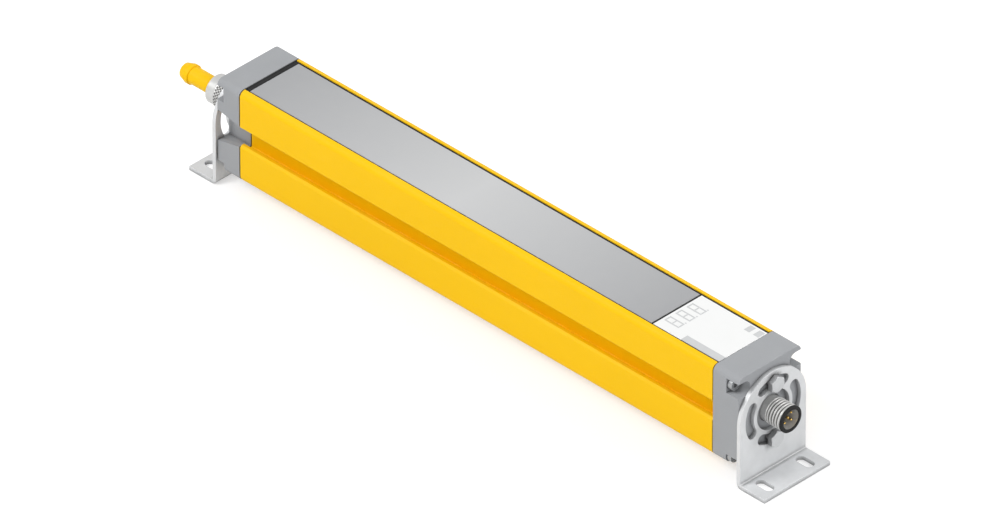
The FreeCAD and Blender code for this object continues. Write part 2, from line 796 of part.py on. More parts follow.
def plug_body():
    piece = Piece("plug_body")
    profile = piece.draw("XZ_Plane")
    collar = "(plug_reach - plug_nose_length - plug_collar_length)"
    nose = "(plug_reach - plug_nose_length)"
    shoulder = f"({NUT_END} - nut_lip - plug_play)"
    profile.outline([
        (PLUG_FLANGE, "plug_block_radius"),
        (PLUG_FLANGE, "plug_flange_radius"),
        (shoulder, "plug_flange_radius"),
        (shoulder, "plug_stem_radius"),
        (collar, "plug_stem_radius"),
        (collar, "plug_collar_radius"),
        (nose, "plug_collar_radius"),
        (nose, "plug_collar_radius - plug_play"),
        ("plug_reach", "plug_nose_radius"),
        ("plug_reach", "0"),
        (f"{PLUG_FLANGE} + plug_block_seat", "0"),
        (f"{PLUG_FLANGE} + plug_block_seat", "plug_block_radius"),
    ])
    piece.turn(profile, "H_Axis")
    piece.settle("plug_end")


def plug_contact_block():
    piece = Piece("plug_contact_block")
    front = f"({SOCKET_FLOOR} + plug_block_gap)"
    solid = piece.draw("YZ_Plane", front)
    solid.circle("0", "0", "plug_block_radius")
    piece.pad(solid, f"{PLUG_FLANGE} + plug_block_seat - {front}")
    bores = piece.draw("YZ_Plane", front)
    bores.contacts("contact_radius + contact_play")
    piece.cut(bores, f"{CONTACT_END} + plug_block_gap - {front}")
    piece.settle("plug_end")


def plug_seal_ring():
    piece = Piece("plug_seal_ring")
    ring = piece.draw("YZ_Plane", "shell_reach")
    ring.circle("0", "0", "plug_flange_radius")
    ring.circle("0", "0", "plug_block_radius + plug_play")
    piece.pad(ring, "plug_seal")
    piece.settle("plug_end")


def plug_coupling_nut():
    piece = Piece("plug_coupling_nut")
    profile = piece.draw("XZ_Plane")
    knurl_end = f"({NUT_END} - nut_smooth)"
    profile.outline([
        ("nut_start", "shell_radius + thread_play"),
        (f"{NUT_END} - nut_lip", "shell_radius + thread_play"),
        (f"{NUT_END} - nut_lip", "plug_stem_radius + plug_play"),
        (NUT_END, "plug_stem_radius + plug_play"),
        (NUT_END, "nut_radius - nut_chamfer - nut_step"),
        (f"{NUT_END} - nut_chamfer", "nut_radius - nut_step"),
        (f"{knurl_end} + nut_step", "nut_radius - nut_step"),
        (knurl_end, "nut_radius"),
        ("nut_start + nut_chamfer", "nut_radius"),
        ("nut_start", "nut_radius - nut_chamfer"),
    ])
    piece.turn(profile, "H_Axis")

    # Flutes for the fingers, from the front edge to just short of the smooth part
    flute = piece.draw("YZ_Plane", "nut_start")
    flute.outline([
        ("0", "nut_radius - flute_depth"),
        ("flute_half", "nut_radius + nut_step"),
        ("0 - flute_half", "nut_radius + nut_step"),
    ])
    length = "nut_length - nut_smooth - nut_chamfer - nut_step"
    piece.ring(piece.cut(flute, length), "flutes")
    piece.settle("plug_end")


# Brackets: a plate with a round top and four curved slots, bent out into a slotted foot


def bracket(end):
    piece = Piece(f"{end}_bracket")
    near, far = "bracket_slip", "(bracket_slip + bracket_sheet)"
    floor, crown = f"(0 - {AXIS_HEIGHT})", "(bracket_width / 2)"
    side = piece.draw("XZ_Plane")
    side.outline([
        (near, floor, "(bend_inside + bracket_sheet)"),
        ("foot_reach", floor),
        ("foot_reach", f"{floor} + bracket_sheet"),
        (far, f"{floor} + bracket_sheet", "bend_inside"),
        (far, crown),
        (near, crown),
    ])
    piece.pad(side, "bracket_width", both_ways=True)

    # Round the plate's top about the swivel axis
    waste = piece.draw("YZ_Plane")
    half, top = value(crown), value("bracket_width")
    curve = waste.arc((0, 0), half, 0, math.pi)
    right = waste.line((half, 0), (half, top))
    lid = waste.line((half, top), (-half, top))
    left = waste.line((-half, top), (-half, 0))
    for first, second in ((curve, right), (right, lid), (lid, left)):
        waste.join("Coincident", first, 1 if first == curve else 2, second, 1)
    waste.join("Coincident", left, 2, curve, 2)
    waste.join("Coincident", curve, 3, -1, 1)
    waste.hold_point(right, 1, crown, "0")
    waste.hold_point(lid, 1, crown, "bracket_width")
    waste.hold_point(left, 1, f"0 - {crown}", "bracket_width")
    waste.hold("DistanceY", "0", -1, 1, left, 2)
    piece.cut(waste, far)

    # The middle hole clears the connector; the curved slots let the plate turn on its bolts
    middle = piece.draw("YZ_Plane")
    middle.circle("0", "0", "bracket_bore")
    piece.cut(middle, far)
    slot = piece.draw("YZ_Plane")
    slot.arc_slot("arc_slot_radius", "arc_slot_half", "arc_slot_turn")
    piece.ring(piece.cut(slot, far), "4")

    # Two slots in the foot, along the housing
    feet = piece.draw("XY_Plane", floor)
    reach = "(foot_slot_length / 2 - foot_slot_radius)"
    start, stop = f"foot_slot_centre - {reach}", f"foot_slot_centre + {reach}"
    feet.stadium(start, stop, "foot_slot_spacing / 2", "foot_slot_radius")
    piece.mirror(piece.cut(feet, "bracket_sheet"))
    piece.settle(end)


def bracket_bolts(end):
    piece = Piece(f"{end}_bracket_bolts")
    tip = "(bolt_end_gap - insert_length)"
    shanks = piece.draw("YZ_Plane", tip)
    heads = piece.draw("YZ_Plane", BOLT_SEAT)
    for side in (-1, 1):
        height = f"{side} * arc_slot_radius"
        shanks.circle("0", height, "bolt_radius")
        heads.hexagon("0", height, "bolt_across")
    piece.pad(shanks, f"{BOLT_SEAT} - {tip}")
    piece.pad(heads, "bolt_head")
    piece.settle(end)


# Window and seals, in the opening along the housing's top


def window_plate(label, start, end):
    """A flat plate in the window opening, its upper edges chamfered."""
    piece = Piece(label)
    plan = piece.draw("XY_Plane", WINDOW_FOOT)
    plan.rectangle(start, end, f"0 - {WINDOW_HALF}", WINDOW_HALF)
    solid = piece.pad(plan, "window_thickness")
    top = value(WINDOW_TOP) - 0.001
    piece.ease("Chamfer", solid, lambda edge: edge.BoundBox.ZMin > top, "window_chamfer")
    return piece


def window_gasket():
    piece = Piece("window_gasket")
    plan = piece.draw("XY_Plane", LEDGE)
    inside = f"({WINDOW_HALF} - gasket_width)"
    plan.rectangle(PROFILE_START, PROFILE_END, f"0 - {GASKET_HALF}", GASKET_HALF)
    start, end = f"{PROFILE_START} + gasket_width", f"{PROFILE_END} - gasket_width"
    plan.rectangle(start, end, f"0 - {inside}", inside)
    piece.pad(plan, "window_gasket")

    # A lip up each side of the window, and a rib on a cross bar between lens and panel
    outside = f"({WINDOW_HALF} + window_play)"
    cross = piece.draw("XY_Plane", LEDGE)
    reach = "gasket_width / 2"
    cross.rectangle(f"{PANEL_START} - {reach}", f"{PANEL_START} + {reach}", f"0 - {WINDOW_HALF}", WINDOW_HALF)
    piece.pad(cross, "window_gasket")
    rise = f"{WINDOW_TOP} - lip_drop - {LEDGE}"
    lips = piece.draw("XY_Plane", LEDGE)
    lips.rectangle(PROFILE_START, PROFILE_END, f"0 - {GASKET_HALF}", f"0 - {outside}")
    lips.rectangle(PROFILE_START, PROFILE_END, outside, GASKET_HALF)
    piece.pad(lips, rise)
    rib = piece.draw("XY_Plane", LEDGE)
    rib.rectangle(f"{PANEL_START} - seal_lip / 2", f"{PANEL_START} + seal_lip / 2", f"0 - {GASKET_HALF}", GASKET_HALF)
    piece.pad(rib, rise)
    piece.settle()


def window_end_seal():
    block("window_end_seal", PROFILE_START, WINDOW_START, f"0 - {WINDOW_HALF}", WINDOW_HALF,
          WINDOW_FOOT, WINDOW_TOP)


# Display panel with its light guides and windows


def digit_strokes(drawing, play):
    """The seven strokes and the point of the first digit, whose top faces the plug end."""
    upright = "(digit_height / 2 - digit_gap / 2)"
    level = "(digit_width - 2 * digit_stroke - 2 * digit_gap)"
    strokes = []
    for place in (-1, 0, 1):
        strokes.append((f"{place} * (digit_height - digit_stroke) / 2", "0", "digit_stroke", level))
    for along in (-1, 1):
        for across in (-1, 1):
            middle = f"{along} * (digit_height + digit_gap) / 4"
            aside = f"{across} * (digit_width - digit_stroke) / 2"
            strokes.append((middle, aside, upright, "digit_stroke"))
    point = ("(digit_height - digit_stroke) / 2", "digit_width / 2 + digit_stroke + digit_gap")
    strokes.append(point + ("digit_stroke", "digit_stroke"))
    for along, across, length, width in strokes:
        middle, aside = f"({DIGIT_CENTRE} + {along})", f"({FIRST_DIGIT} + {across})"
        run, rise = f"({length} / 2 + {play})", f"({width} / 2 + {play})"
        drawing.rectangle(f"{middle} - {run}", f"{middle} + {run}", f"{aside} - {rise}", f"{aside} + {rise}")


PANEL_END = f"({PROFILE_END} - window_play)"
BAR_START = f"({PANEL_START} + bar_start)"
BAR_FAR = f"(bar_width - {WINDOW_HALF})"
STATUS_START = f"({PANEL_START} + status_start)"
STATUS_NEAR = f"({WINDOW_HALF} - status_inset - status_width)"


def display_panel():
    piece = window_plate("display_panel", f"{PANEL_START} + seal_lip / 2 + window_play", PANEL_END)
    strokes = piece.draw("XY_Plane", WINDOW_FOOT)
    digit_strokes(strokes, "digit_play")
    piece.row(piece.cut(strokes, "window_thickness"), "Y_Axis", "digit_pitch", "3")
    rebate = piece.draw("XY_Plane", f"{WINDOW_TOP} - indicator_depth")
    rebate.rectangle(f"{BAR_START} - indicator_play", PROFILE_END,
                     f"0 - {GASKET_HALF}", f"{BAR_FAR} + indicator_play")
    piece.cut(rebate, "indicator_depth")
    seats = piece.draw("XY_Plane", f"{WINDOW_TOP} - indicator_depth")
    seats.rectangle(f"{STATUS_START} - indicator_play", f"{STATUS_START} + status_length + indicator_play",
                    f"{STATUS_NEAR} - indicator_play", f"{STATUS_NEAR} + status_width + indicator_play")
    piece.row(piece.cut(seats, "indicator_depth"), "X_Axis", "status_pitch", "2")
    piece.settle()


def digit_light_guide():
    """A clear moulding under the panel whose raised strokes come up flush through it."""
    piece = Piece("digit_light_guide")
    base = piece.draw("XY_Plane", GUIDE_FOOT)
    reach = "(digit_height / 2 + guide_margin)"
    near = f"{FIRST_DIGIT} - digit_width / 2 - guide_margin"
    far = f"{FIRST_DIGIT} + 2 * digit_pitch + digit_width / 2 + 2 * guide_margin + digit_stroke"
    base.rectangle(f"{DIGIT_CENTRE} - {reach}", f"{DIGIT_CENTRE} + {reach}", near, far)
    piece.pad(base, "guide_base")
    strokes = piece.draw("XY_Plane", WINDOW_FOOT)
    digit_strokes(strokes, "0")
    piece.row(piece.pad(strokes, "window_thickness"), "Y_Axis", "digit_pitch", "3")
    piece.settle()


def zone_light_bar():
    block("zone_light_bar", BAR_START, PANEL_END, f"(0 - {WINDOW_HALF})", BAR_FAR,
          f"({WINDOW_TOP} - indicator_depth)", WINDOW_TOP)


def status_windows():
    piece = Piece("status_windows")
    plan = piece.draw("XY_Plane", f"{WINDOW_TOP} - indicator_depth")
    plan.rectangle(STATUS_START, f"{STATUS_START} + status_length", STATUS_NEAR, f"{STATUS_NEAR} + status_width")
    piece.row(piece.pad(plan, "indicator_depth"), "X_Axis", "status_pitch", "2")
    piece.settle()


def display_frame():
    """A moulded frame that stands on the slot walls and carries the display board."""
    piece = Piece("display_frame")
    plan = piece.draw("XY_Plane", DECK)
    plan.rectangle(DISPLAY_START, DISPLAY_END, f"0 - {DISPLAY_HALF}", DISPLAY_HALF)
    inside = f"({DISPLAY_HALF} - display_wall)"
    plan.rectangle(f"{DISPLAY_START} + display_wall", f"{DISPLAY_END} - display_wall", f"0 - {inside}", inside)
    piece.pad(plan, f"{DISPLAY_FOOT} - {DECK}")
    piece.settle()


def display_electronics():
    block("display_board", DISPLAY_START, DISPLAY_END, f"0 - {DISPLAY_HALF}", DISPLAY_HALF,
          DISPLAY_FOOT, DISPLAY_TOP)
    reach = "(digit_height / 2)"
    far = f"{FIRST_DIGIT} + 2 * digit_pitch + digit_width"
    block("digit_display", f"({DIGIT_CENTRE} - {reach})", f"({DIGIT_CENTRE} + {reach})",
          f"({FIRST_DIGIT} - digit_width / 2)", far, DISPLAY_TOP, GUIDE_FOOT)
    riser = f"({DISPLAY_START} + display_wall + riser_gap)"
    block("display_riser_board", riser, f"({riser} + riser_length)", "0 - board / 2", "board / 2",
          MAIN_BOARD_TOP, DISPLAY_FOOT)
    leds("zone_leds", f"{BAR_START} + led_length / 2", f"led_width - {DISPLAY_HALF}", "8", "led_pitch")
    leds("status_leds", f"{STATUS_START} + status_length / 2 - led_length / 2",
         f"{DISPLAY_HALF} - 2 * led_width", "2", "status_pitch")


def leds(label, start, near, count, spacing):
    piece = Piece(label)
    plan = piece.draw("XY_Plane", DISPLAY_TOP)
    plan.rectangle(start, f"{start} + led_length", near, f"{near} + led_width")
    piece.row(piece.pad(plan, "led_height"), "X_Axis", spacing, count)
    piece.settle()


# Optics: one long black moulding with a tapered tunnel for each beam, lenses over the
# tunnels' tops and light sensors at their feet


def optics_chassis():
    piece = Piece("optics_chassis")
    section = piece.draw("YZ_Plane", CHASSIS_START)
    section.outline(mirrored([
        (f"({CORE_HALF} - chassis_play)", CHASSIS_FOOT),
        (f"({CORE_HALF} - chassis_play)", DECK),
        (f"({SIDE} - wall - chassis_play)", DECK),
        (f"({SIDE} - wall - chassis_play)", f"{DECK} + chassis_flange"),
    ]))
    piece.pad(section, f"{CHASSIS_END} - {CHASSIS_START}")
    tunnel = piece.tapered_cut(FIRST_BEAM, (CHASSIS_FOOT, "tunnel_foot_half"),
                               (f"{DECK} + chassis_flange", "tunnel_top_half"))
    piece.row(tunnel, "X_Axis", "beam_pitch", f"{BEAM_GAPS} + 1")
    piece.settle()


def lens_strip():
    piece = Piece("lens_strip")
    foot = f"({DECK} + chassis_flange)"
    plan = piece.draw("XY_Plane", foot)
    plan.rectangle(CHASSIS_START, CHASSIS_END, "0 - lens_strip_half", "lens_strip_half")
    piece.pad(plan, "lens_strip")
    lens = piece.draw("XZ_Plane", shift=FIRST_BEAM)
    base, crown = f"({foot} + lens_strip)", f"({foot} + lens_strip + lens_rise)"
    bulge = "(lens_radius ^ 2 + lens_rise ^ 2) / (2 * lens_rise)"
    radius, low, high = value(bulge), value(base), value(crown)
    centre = high - radius
    first = math.atan2(low - centre, value("lens_radius"))
    floor = lens.line((0, low), (value("lens_radius"), low))
    dome = lens.arc((0, centre), radius, first, math.pi / 2)
    axis = lens.line((0, high), (0, low))
    lens.join("Coincident", floor, 2, dome, 1)
    lens.join("Coincident", dome, 2, axis, 1)
    lens.join("Coincident", axis, 2, floor, 1)
    lens.hold_point(floor, 1, "0", base)
    lens.hold_point(floor, 2, "lens_radius", base)
    lens.hold_point(axis, 1, "0", crown)
    lens.hold("Radius", bulge, dome)
    piece.row(piece.turn(lens, "V_Axis"), "X_Axis", "beam_pitch", f"{BEAM_GAPS} + 1")
    piece.settle()


def light_sensors():
    half = f"({CORE_HALF} - chassis_play)"
    block("sensor_board", CHASSIS_START, CHASSIS_END, f"0 - {half}", half, SENSOR_FOOT, CHASSIS_FOOT)
    piece = Piece("photodiodes")
    plan = piece.draw("XY_Plane", CHASSIS_FOOT, FIRST_BEAM)
    plan.square("diode_half")
    piece.row(piece.pad(plan, "diode_height"), "X_Axis", "beam_pitch", f"{BEAM_GAPS} + 1")
    piece.settle()


# Long board on the lower screw ports, with the parts that judge the beams and drive the outputs


def main_board():
    half = f"({SIDE} - wall - board_play)"
    block("processor_board", f"({PROFILE_START} + board_end_gap)", f"({PROFILE_END} - board_end_gap)",
          f"0 - {half}", half, MAIN_BOARD_FOOT, MAIN_BOARD_TOP)
    right = f"({CHASSIS_END} - stack_gap)"
    block("board_stack_header", f"({right} - stack_length)", right, "0 - stack_half", "stack_half",
          MAIN_BOARD_TOP, SENSOR_FOOT)
    inductor = f"({PANEL_START} - inductor_back)"
    block("supply_inductor", inductor, f"({inductor} + inductor_side)", "0 - inductor_side / 2",
          "inductor_side / 2", MAIN_BOARD_TOP, f"({SENSOR_FOOT} - inductor_gap)")

    chips = Piece("safety_processors")
    plan = chips.draw("XY_Plane", MAIN_BOARD_TOP)
    start = f"({PROFILE_START} + processor_start)"
    plan.rectangle(start, f"{start} + processor_side", "0 - processor_side / 2", "processor_side / 2")
    chips.row(chips.pad(plan, "processor_height"), "X_Axis", "processor_pitch", "2")
    chips.settle()

    drivers = Piece("output_drivers")
    plan = drivers.draw("XY_Plane", MAIN_BOARD_TOP)
    start = f"({PANEL_START} - capacitor_back - driver_pitch)"
    near = "(0 - driver_offset - driver_width)"
    plan.rectangle(f"{start} - driver_length", start, near, f"{near} + driver_width")
    drivers.row(drivers.pad(plan, "driver_height"), "X_Axis", "driver_pitch", "2")
    drivers.settle()

    cans = Piece("supply_capacitors")
    plan = cans.draw("XY_Plane", MAIN_BOARD_TOP)
    plan.circle(f"{PANEL_START} - capacitor_back - 2 * capacitor_pitch", "capacitor_offset", "capacitor_radius")
    height = f"{SENSOR_FOOT} - capacitor_gap - {MAIN_BOARD_TOP}"
    cans.row(cans.pad(plan, height), "X_Axis", "capacitor_pitch", "3")
    cans.settle()


housing_extrusion()
for end in ENDS:
    end_cap(end)
    cap_gasket(end)
    cap_screws(end)
    bracket_inserts(end)
    connector_shell(end)
    connector_seal(end)
    contact_carrier(end)
    contact_pins(end)
    connector_board(end)
    bracket(end)
    bracket_bolts(end)
board_headers()
plug_body()
plug_contact_block()
plug_seal_ring()
plug_coupling_nut()
window_plate("lens_window", f"{WINDOW_START} + window_play", f"{PANEL_START} - seal_lip / 2 - window_play").settle()
window_gasket()
window_end_seal()
display_panel()
digit_light_guide()
zone_light_bar()
status_windows()
display_frame()
display_electronics()
optics_chassis()
lens_strip()
light_sensors()
main_board()

doc.recompute()
for item in doc.Objects:
    if "Invalid" in item.State or "Error" in item.State:
        raise RuntimeError(f"{item.Label} failed: {item.State}")
    if item.TypeId in ("PartDesign::Pocket", "PartDesign::SubtractiveWedge"):
        if item.Shape.Volume >= item.BaseFeature.Shape.Volume:
            raise RuntimeError(f"{item.Label} cuts nothing")
for piece in pieces:
    if piece.Shape.isNull() or not piece.Shape.isValid():
        raise RuntimeError(f"{piece.Label} has no valid shape")

os.makedirs("parts", exist_ok=True)
for piece in pieces:
    piece.Shape.exportStep(f"parts/{piece.Label}.step")
print(len(pieces), "sub-parts")
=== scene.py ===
import json
import math

import bmesh
import bpy
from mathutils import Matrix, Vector
from mathutils.geometry import delaunay_2d_cdt


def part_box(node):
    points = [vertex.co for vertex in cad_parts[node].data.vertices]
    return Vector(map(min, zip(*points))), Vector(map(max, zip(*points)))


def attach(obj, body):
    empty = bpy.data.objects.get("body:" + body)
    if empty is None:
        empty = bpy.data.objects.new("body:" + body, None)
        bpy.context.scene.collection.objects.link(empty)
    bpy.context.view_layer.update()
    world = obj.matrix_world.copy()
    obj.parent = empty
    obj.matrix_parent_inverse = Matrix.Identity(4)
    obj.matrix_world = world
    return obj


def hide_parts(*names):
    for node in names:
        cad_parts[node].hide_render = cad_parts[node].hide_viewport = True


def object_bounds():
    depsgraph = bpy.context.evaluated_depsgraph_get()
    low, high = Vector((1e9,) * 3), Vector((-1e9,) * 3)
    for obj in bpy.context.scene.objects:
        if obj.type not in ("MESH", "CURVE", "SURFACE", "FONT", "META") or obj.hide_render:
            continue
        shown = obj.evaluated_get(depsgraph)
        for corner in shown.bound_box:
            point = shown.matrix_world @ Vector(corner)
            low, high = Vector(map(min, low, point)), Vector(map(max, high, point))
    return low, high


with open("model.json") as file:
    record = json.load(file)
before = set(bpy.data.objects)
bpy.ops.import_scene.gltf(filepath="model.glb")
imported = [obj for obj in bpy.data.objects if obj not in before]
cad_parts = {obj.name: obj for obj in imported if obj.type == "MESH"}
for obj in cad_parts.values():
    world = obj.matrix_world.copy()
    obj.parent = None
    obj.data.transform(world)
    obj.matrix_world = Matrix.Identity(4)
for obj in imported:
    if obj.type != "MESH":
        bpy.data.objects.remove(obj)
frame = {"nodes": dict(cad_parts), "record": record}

# The looks of a safety light curtain: finishes for every piece, and finer meshes where the
# solids are plain. Lengths are in metres, in the part's own frame: X along the housing
# towards the cable end, Y across it and Z up.

MM = 0.001
cad_low, cad_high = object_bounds()
record = frame["record"]
BODY_OF = {node: body for body, nodes in record["behaviour"]["bodies"].items() for node in nodes}
SLOT_OF = {part["node"]: part["material_slot"] for part in record["subparts"]}

ENDS = ("plug_end", "cable_end")
OUTWARDS = {"plug_end": -1, "cable_end": 1}
CAP_FACE = {"plug_end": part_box("plug_end_cap")[0].x, "cable_end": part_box("cable_end_cap")[1].x}
AXIS_HEIGHT = sum(corner.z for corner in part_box("cable_end_cap")) / 2

# Places along the swivel axis here and below are distances out from the cap's face
SHELL_RADIUS, THREAD_DEPTH = 6.0 * MM, 0.62 * MM
THREAD_START, THREAD_END = 3.0 * MM, 11.2 * MM
NUT_RADIUS, KNURL_DEPTH = 7.0 * MM, 0.4 * MM
NUT_START, NUT_END, NUT_SMOOTH = 5.0 * MM, 19.2 * MM, 4.7 * MM
GRIP_END = NUT_END - NUT_SMOOTH


# Camera

PHOTO_WIDE, PHOTO_HIGH = 999, 516
ORIGIN_PIXEL = (487.5, 305.0)
PIXELS_ALONG_AXES = 2000.0
ISOMETRIC_TURN = math.radians(45)
ISOMETRIC_TILT = math.atan(math.sqrt(0.5))
LENS, SENSOR = 800.0, 36.0
NEAREST_SEEN, FARTHEST_SEEN = 0.1, 100.0


def photo_camera():
    """A long lens at the drawing's isometric angle, with the frame's origin at its pixel."""
    turn, tilt = ISOMETRIC_TURN, ISOMETRIC_TILT
    back = Vector((math.sin(turn) * math.cos(tilt), -math.cos(turn) * math.cos(tilt), math.sin(tilt)))
    right = Vector((math.cos(turn), math.sin(turn), 0))
    up = back.cross(right)
    pixels = PIXELS_ALONG_AXES / math.cos(tilt)
    across = (PHOTO_WIDE / 2 - ORIGIN_PIXEL[0]) / pixels
    rise = (ORIGIN_PIXEL[1] - PHOTO_HIGH / 2) / pixels
    lens = bpy.data.cameras.new("Photo lens")
    lens.lens, lens.sensor_width = LENS, SENSOR
    lens.clip_start, lens.clip_end = NEAREST_SEEN, FARTHEST_SEEN
    camera = bpy.data.objects.new("Photo camera", lens)
    camera.location = right * across + up * rise + back * (LENS / SENSOR * PHOTO_WIDE / pixels)
    camera.rotation_mode = "QUATERNION"
    camera.rotation_quaternion = back.to_track_quat("Z", "Y")
    bpy.context.scene.collection.objects.link(camera)
    bpy.context.scene.camera = camera


# Node helpers


def add(tree, kind, inputs=None, **settings):
    """A shader node with its settings, its inputs linked or set by name or number."""
    node = tree.nodes.new(f"ShaderNode{kind}")
    for key, setting in settings.items():
        setattr(node, key, setting)
    for key, given in (inputs or {}).items():
        if isinstance(given, bpy.types.NodeSocket):
            tree.links.new(given, node.inputs[key])
        else:
            node.inputs[key].default_value = given
    return node


def calc(tree, operation, *numbers, clamp=False):
    node = add(tree, "Math", dict(enumerate(numbers)), operation=operation, use_clamp=clamp)
    return node.outputs[0]


def spread(tree, given, low, high, to_low=0.0, to_high=1.0):
    """Map a range of a value to another, held at its ends."""
    inputs = {"Value": given, "From Min": low, "From Max": high, "To Min": to_low, "To Max": to_high}
    return add(tree, "MapRange", inputs).outputs[0]


def blend_colours(tree, share, first, second, kind="MIX"):
    node = add(tree, "Mix", data_type="RGBA", blend_type=kind)
    sockets = [socket for socket in node.inputs if socket.type == "RGBA"]
    for socket, given in zip([node.inputs[0]] + sockets, (share, first, second)):
        if isinstance(given, bpy.types.NodeSocket):
            tree.links.new(given, socket)
        else:
            socket.default_value = given
    return next(socket for socket in node.outputs if socket.type == "RGBA")


SOCKET_KINDS = {float: "NodeSocketFloat", tuple: "NodeSocketColor"}


def effect(name, inputs, outputs):
    """A shader node group with named inputs and outputs, and its two end nodes."""
    tree = bpy.data.node_groups.new(name, "ShaderNodeTree")
    for label, start in inputs.items():
        socket = tree.interface.new_socket(label, in_out="INPUT", socket_type=SOCKET_KINDS[type(start)])
        socket.default_value = start
    for label, kind in outputs.items():
        tree.interface.new_socket(label, in_out="OUTPUT", socket_type=SOCKET_KINDS[kind])
    return tree, tree.nodes.new("NodeGroupInput").outputs, tree.nodes.new("NodeGroupOutput").inputs


def place_on_piece(tree):
    return add(tree, "TexCoord").outputs["Object"]


def stretched(tree, lengths):
    """The place on the piece, divided by a length for each direction."""
    sizes = add(tree, "CombineXYZ", dict(enumerate(lengths))).outputs[0]
    inputs = {0: place_on_piece(tree), 1: sizes}
    return add(tree, "VectorMath", inputs, operation="DIVIDE").outputs[0]


# Effects that several finishes share


def moulded_grain():
    """Fine spark-eroded or powder texture."""
    tree, given, result = effect("Moulded grain", {"Grain Size": 0.0006}, {"Height": float})
    place = stretched(tree, [given["Grain Size"]] * 3)
    coarse = add(tree, "TexNoise", {"Vector": place, "Scale": 1.0, "Detail": 2.0}).outputs["Fac"]
    cells = add(tree, "TexVoronoi", {"Vector": place, "Scale": 1.6}).outputs["Distance"]
    tree.links.new(calc(tree, "MULTIPLY_ADD", cells, 0.4, coarse), result["Height"])
    return tree


def colour_drift():
    """Slow cloudy change of a colour over the surface."""
    start = {"Colour": (0.5, 0.5, 0.5, 1.0), "Cloud Size": 0.03, "Amount": 0.05}
    tree, given, result = effect("Colour drift", start, {"Colour": tuple})
    place = stretched(tree, [given["Cloud Size"]] * 3)
    noise = add(tree, "TexNoise", {"Vector": place, "Scale": 1.0, "Detail": 3.0}).outputs["Fac"]
    swing = calc(tree, "MULTIPLY", calc(tree, "SUBTRACT", noise, 0.5), given["Amount"])
    bright = calc(tree, "MULTIPLY_ADD", swing, 2.0, 1.0)
    tinted = add(tree, "VectorMath", {0: given["Colour"], "Scale": bright}, operation="SCALE").outputs[0]
    tree.links.new(tinted, result["Colour"])
    return tree


def drawn_lines():
    """Long lines in one direction, as a die, a mill or a brush leaves them."""
    start = {"Length X": 0.2, "Length Y": 0.0004, "Length Z": 0.0004}
    tree, given, result = effect("Drawn lines", start, {"Height": float})
    place = stretched(tree, [given[f"Length {axis}"] for axis in "XYZ"])
    noise = add(tree, "TexNoise", {"Vector": place, "Scale": 1.0, "Detail": 3.0, "Roughness": 0.65})
    tree.links.new(noise.outputs["Fac"], result["Height"])
    return tree


def rubbed_edges():
    """Where edges are rubbed by handling: a mask from the bevelled and the true normal."""
    start = {"Width": 0.0004, "Patch Size": 0.004, "Amount": 0.5}
    tree, given, result = effect("Rubbed edges", start, {"Mask": float})
    eased = add(tree, "Bevel", {"Radius": given["Width"]}, samples=2).outputs[0]
    true = add(tree, "NewGeometry").outputs["Normal"]
    agree = add(tree, "VectorMath", {0: eased, 1: true}, operation="DOT_PRODUCT").outputs["Value"]
    edge = spread(tree, agree, 0.995, 0.90)
    place = stretched(tree, [given["Patch Size"]] * 3)
    noise = add(tree, "TexNoise", {"Vector": place, "Scale": 1.0, "Detail": 3.0}).outputs["Fac"]
    patchy = calc(tree, "MULTIPLY", edge, spread(tree, noise, 0.4, 0.65))
    tree.links.new(calc(tree, "MULTIPLY", patchy, given["Amount"]), result["Mask"])
    return tree


def corner_shade():
    """Painted shade, with some dirt, gathered in corners and joints, by how shut in the surface is."""
    tree, given, result = effect("Painted corner shade", {"Reach": 0.0012, "Amount": 0.5}, {"Mask": float})
    # Painted shade: ambient occlusion darkens the colour where the surface is shut in
    open_share = add(tree, "AmbientOcclusion", {"Distance": given["Reach"]}, samples=2).outputs["AO"]
    shut = spread(tree, open_share, 0.85, 0.35)
    place = stretched(tree, [given["Reach"]] * 3)
    noise = add(tree, "TexNoise", {"Vector": place, "Scale": 0.5, "Detail": 3.0}).outputs["Fac"]
    patchy = calc(tree, "MULTIPLY", shut, spread(tree, noise, 0.2, 0.6, 0.6, 1.0))
    tree.links.new(calc(tree, "MULTIPLY", patchy, given["Amount"]), result["Mask"])
    return tree


def settled_dust():
    """Dust on what faces up, thicker in some patches."""
    tree, given, result = effect("Settled dust", {"Amount": 0.1, "Patch Size": 0.01}, {"Mask": float})
    normal = add(tree, "NewGeometry").outputs["Normal"]
    upward = add(tree, "SeparateXYZ", {0: normal}).outputs["Z"]
    place = stretched(tree, [given["Patch Size"]] * 3)
    noise = add(tree, "TexNoise", {"Vector": place, "Scale": 1.0, "Detail": 3.0}).outputs["Fac"]
    patchy = calc(tree, "MULTIPLY", spread(tree, upward, 0.3, 1.0), spread(tree, noise, 0.35, 0.75))
    tree.links.new(calc(tree, "MULTIPLY", patchy, given["Amount"]), result["Mask"])
    return tree


def fine_scratches():
    """Sparse hairlines that wander over the surface."""
    tree, given, result = effect("Fine scratches", {"Reach": 0.012, "Amount": 0.3}, {"Mask": float})
    lines = None
    for wide, tall in ((0.08, 1.0), (1.0, 0.11)):
        lengths = [calc(tree, "MULTIPLY", given["Reach"], share) for share in (wide, tall, wide)]
        noise = add(tree, "TexNoise", {"Vector": stretched(tree, lengths), "Scale": 1.0, "Detail": 1.0})
        off = calc(tree, "ABSOLUTE", calc(tree, "SUBTRACT", noise.outputs["Fac"], 0.56))
        line = spread(tree, off, 0.006, 0.0)
        lines = line if lines is None else calc(tree, "MAXIMUM", lines, line)
    tree.links.new(calc(tree, "MULTIPLY", lines, given["Amount"]), result["Mask"])
    return tree


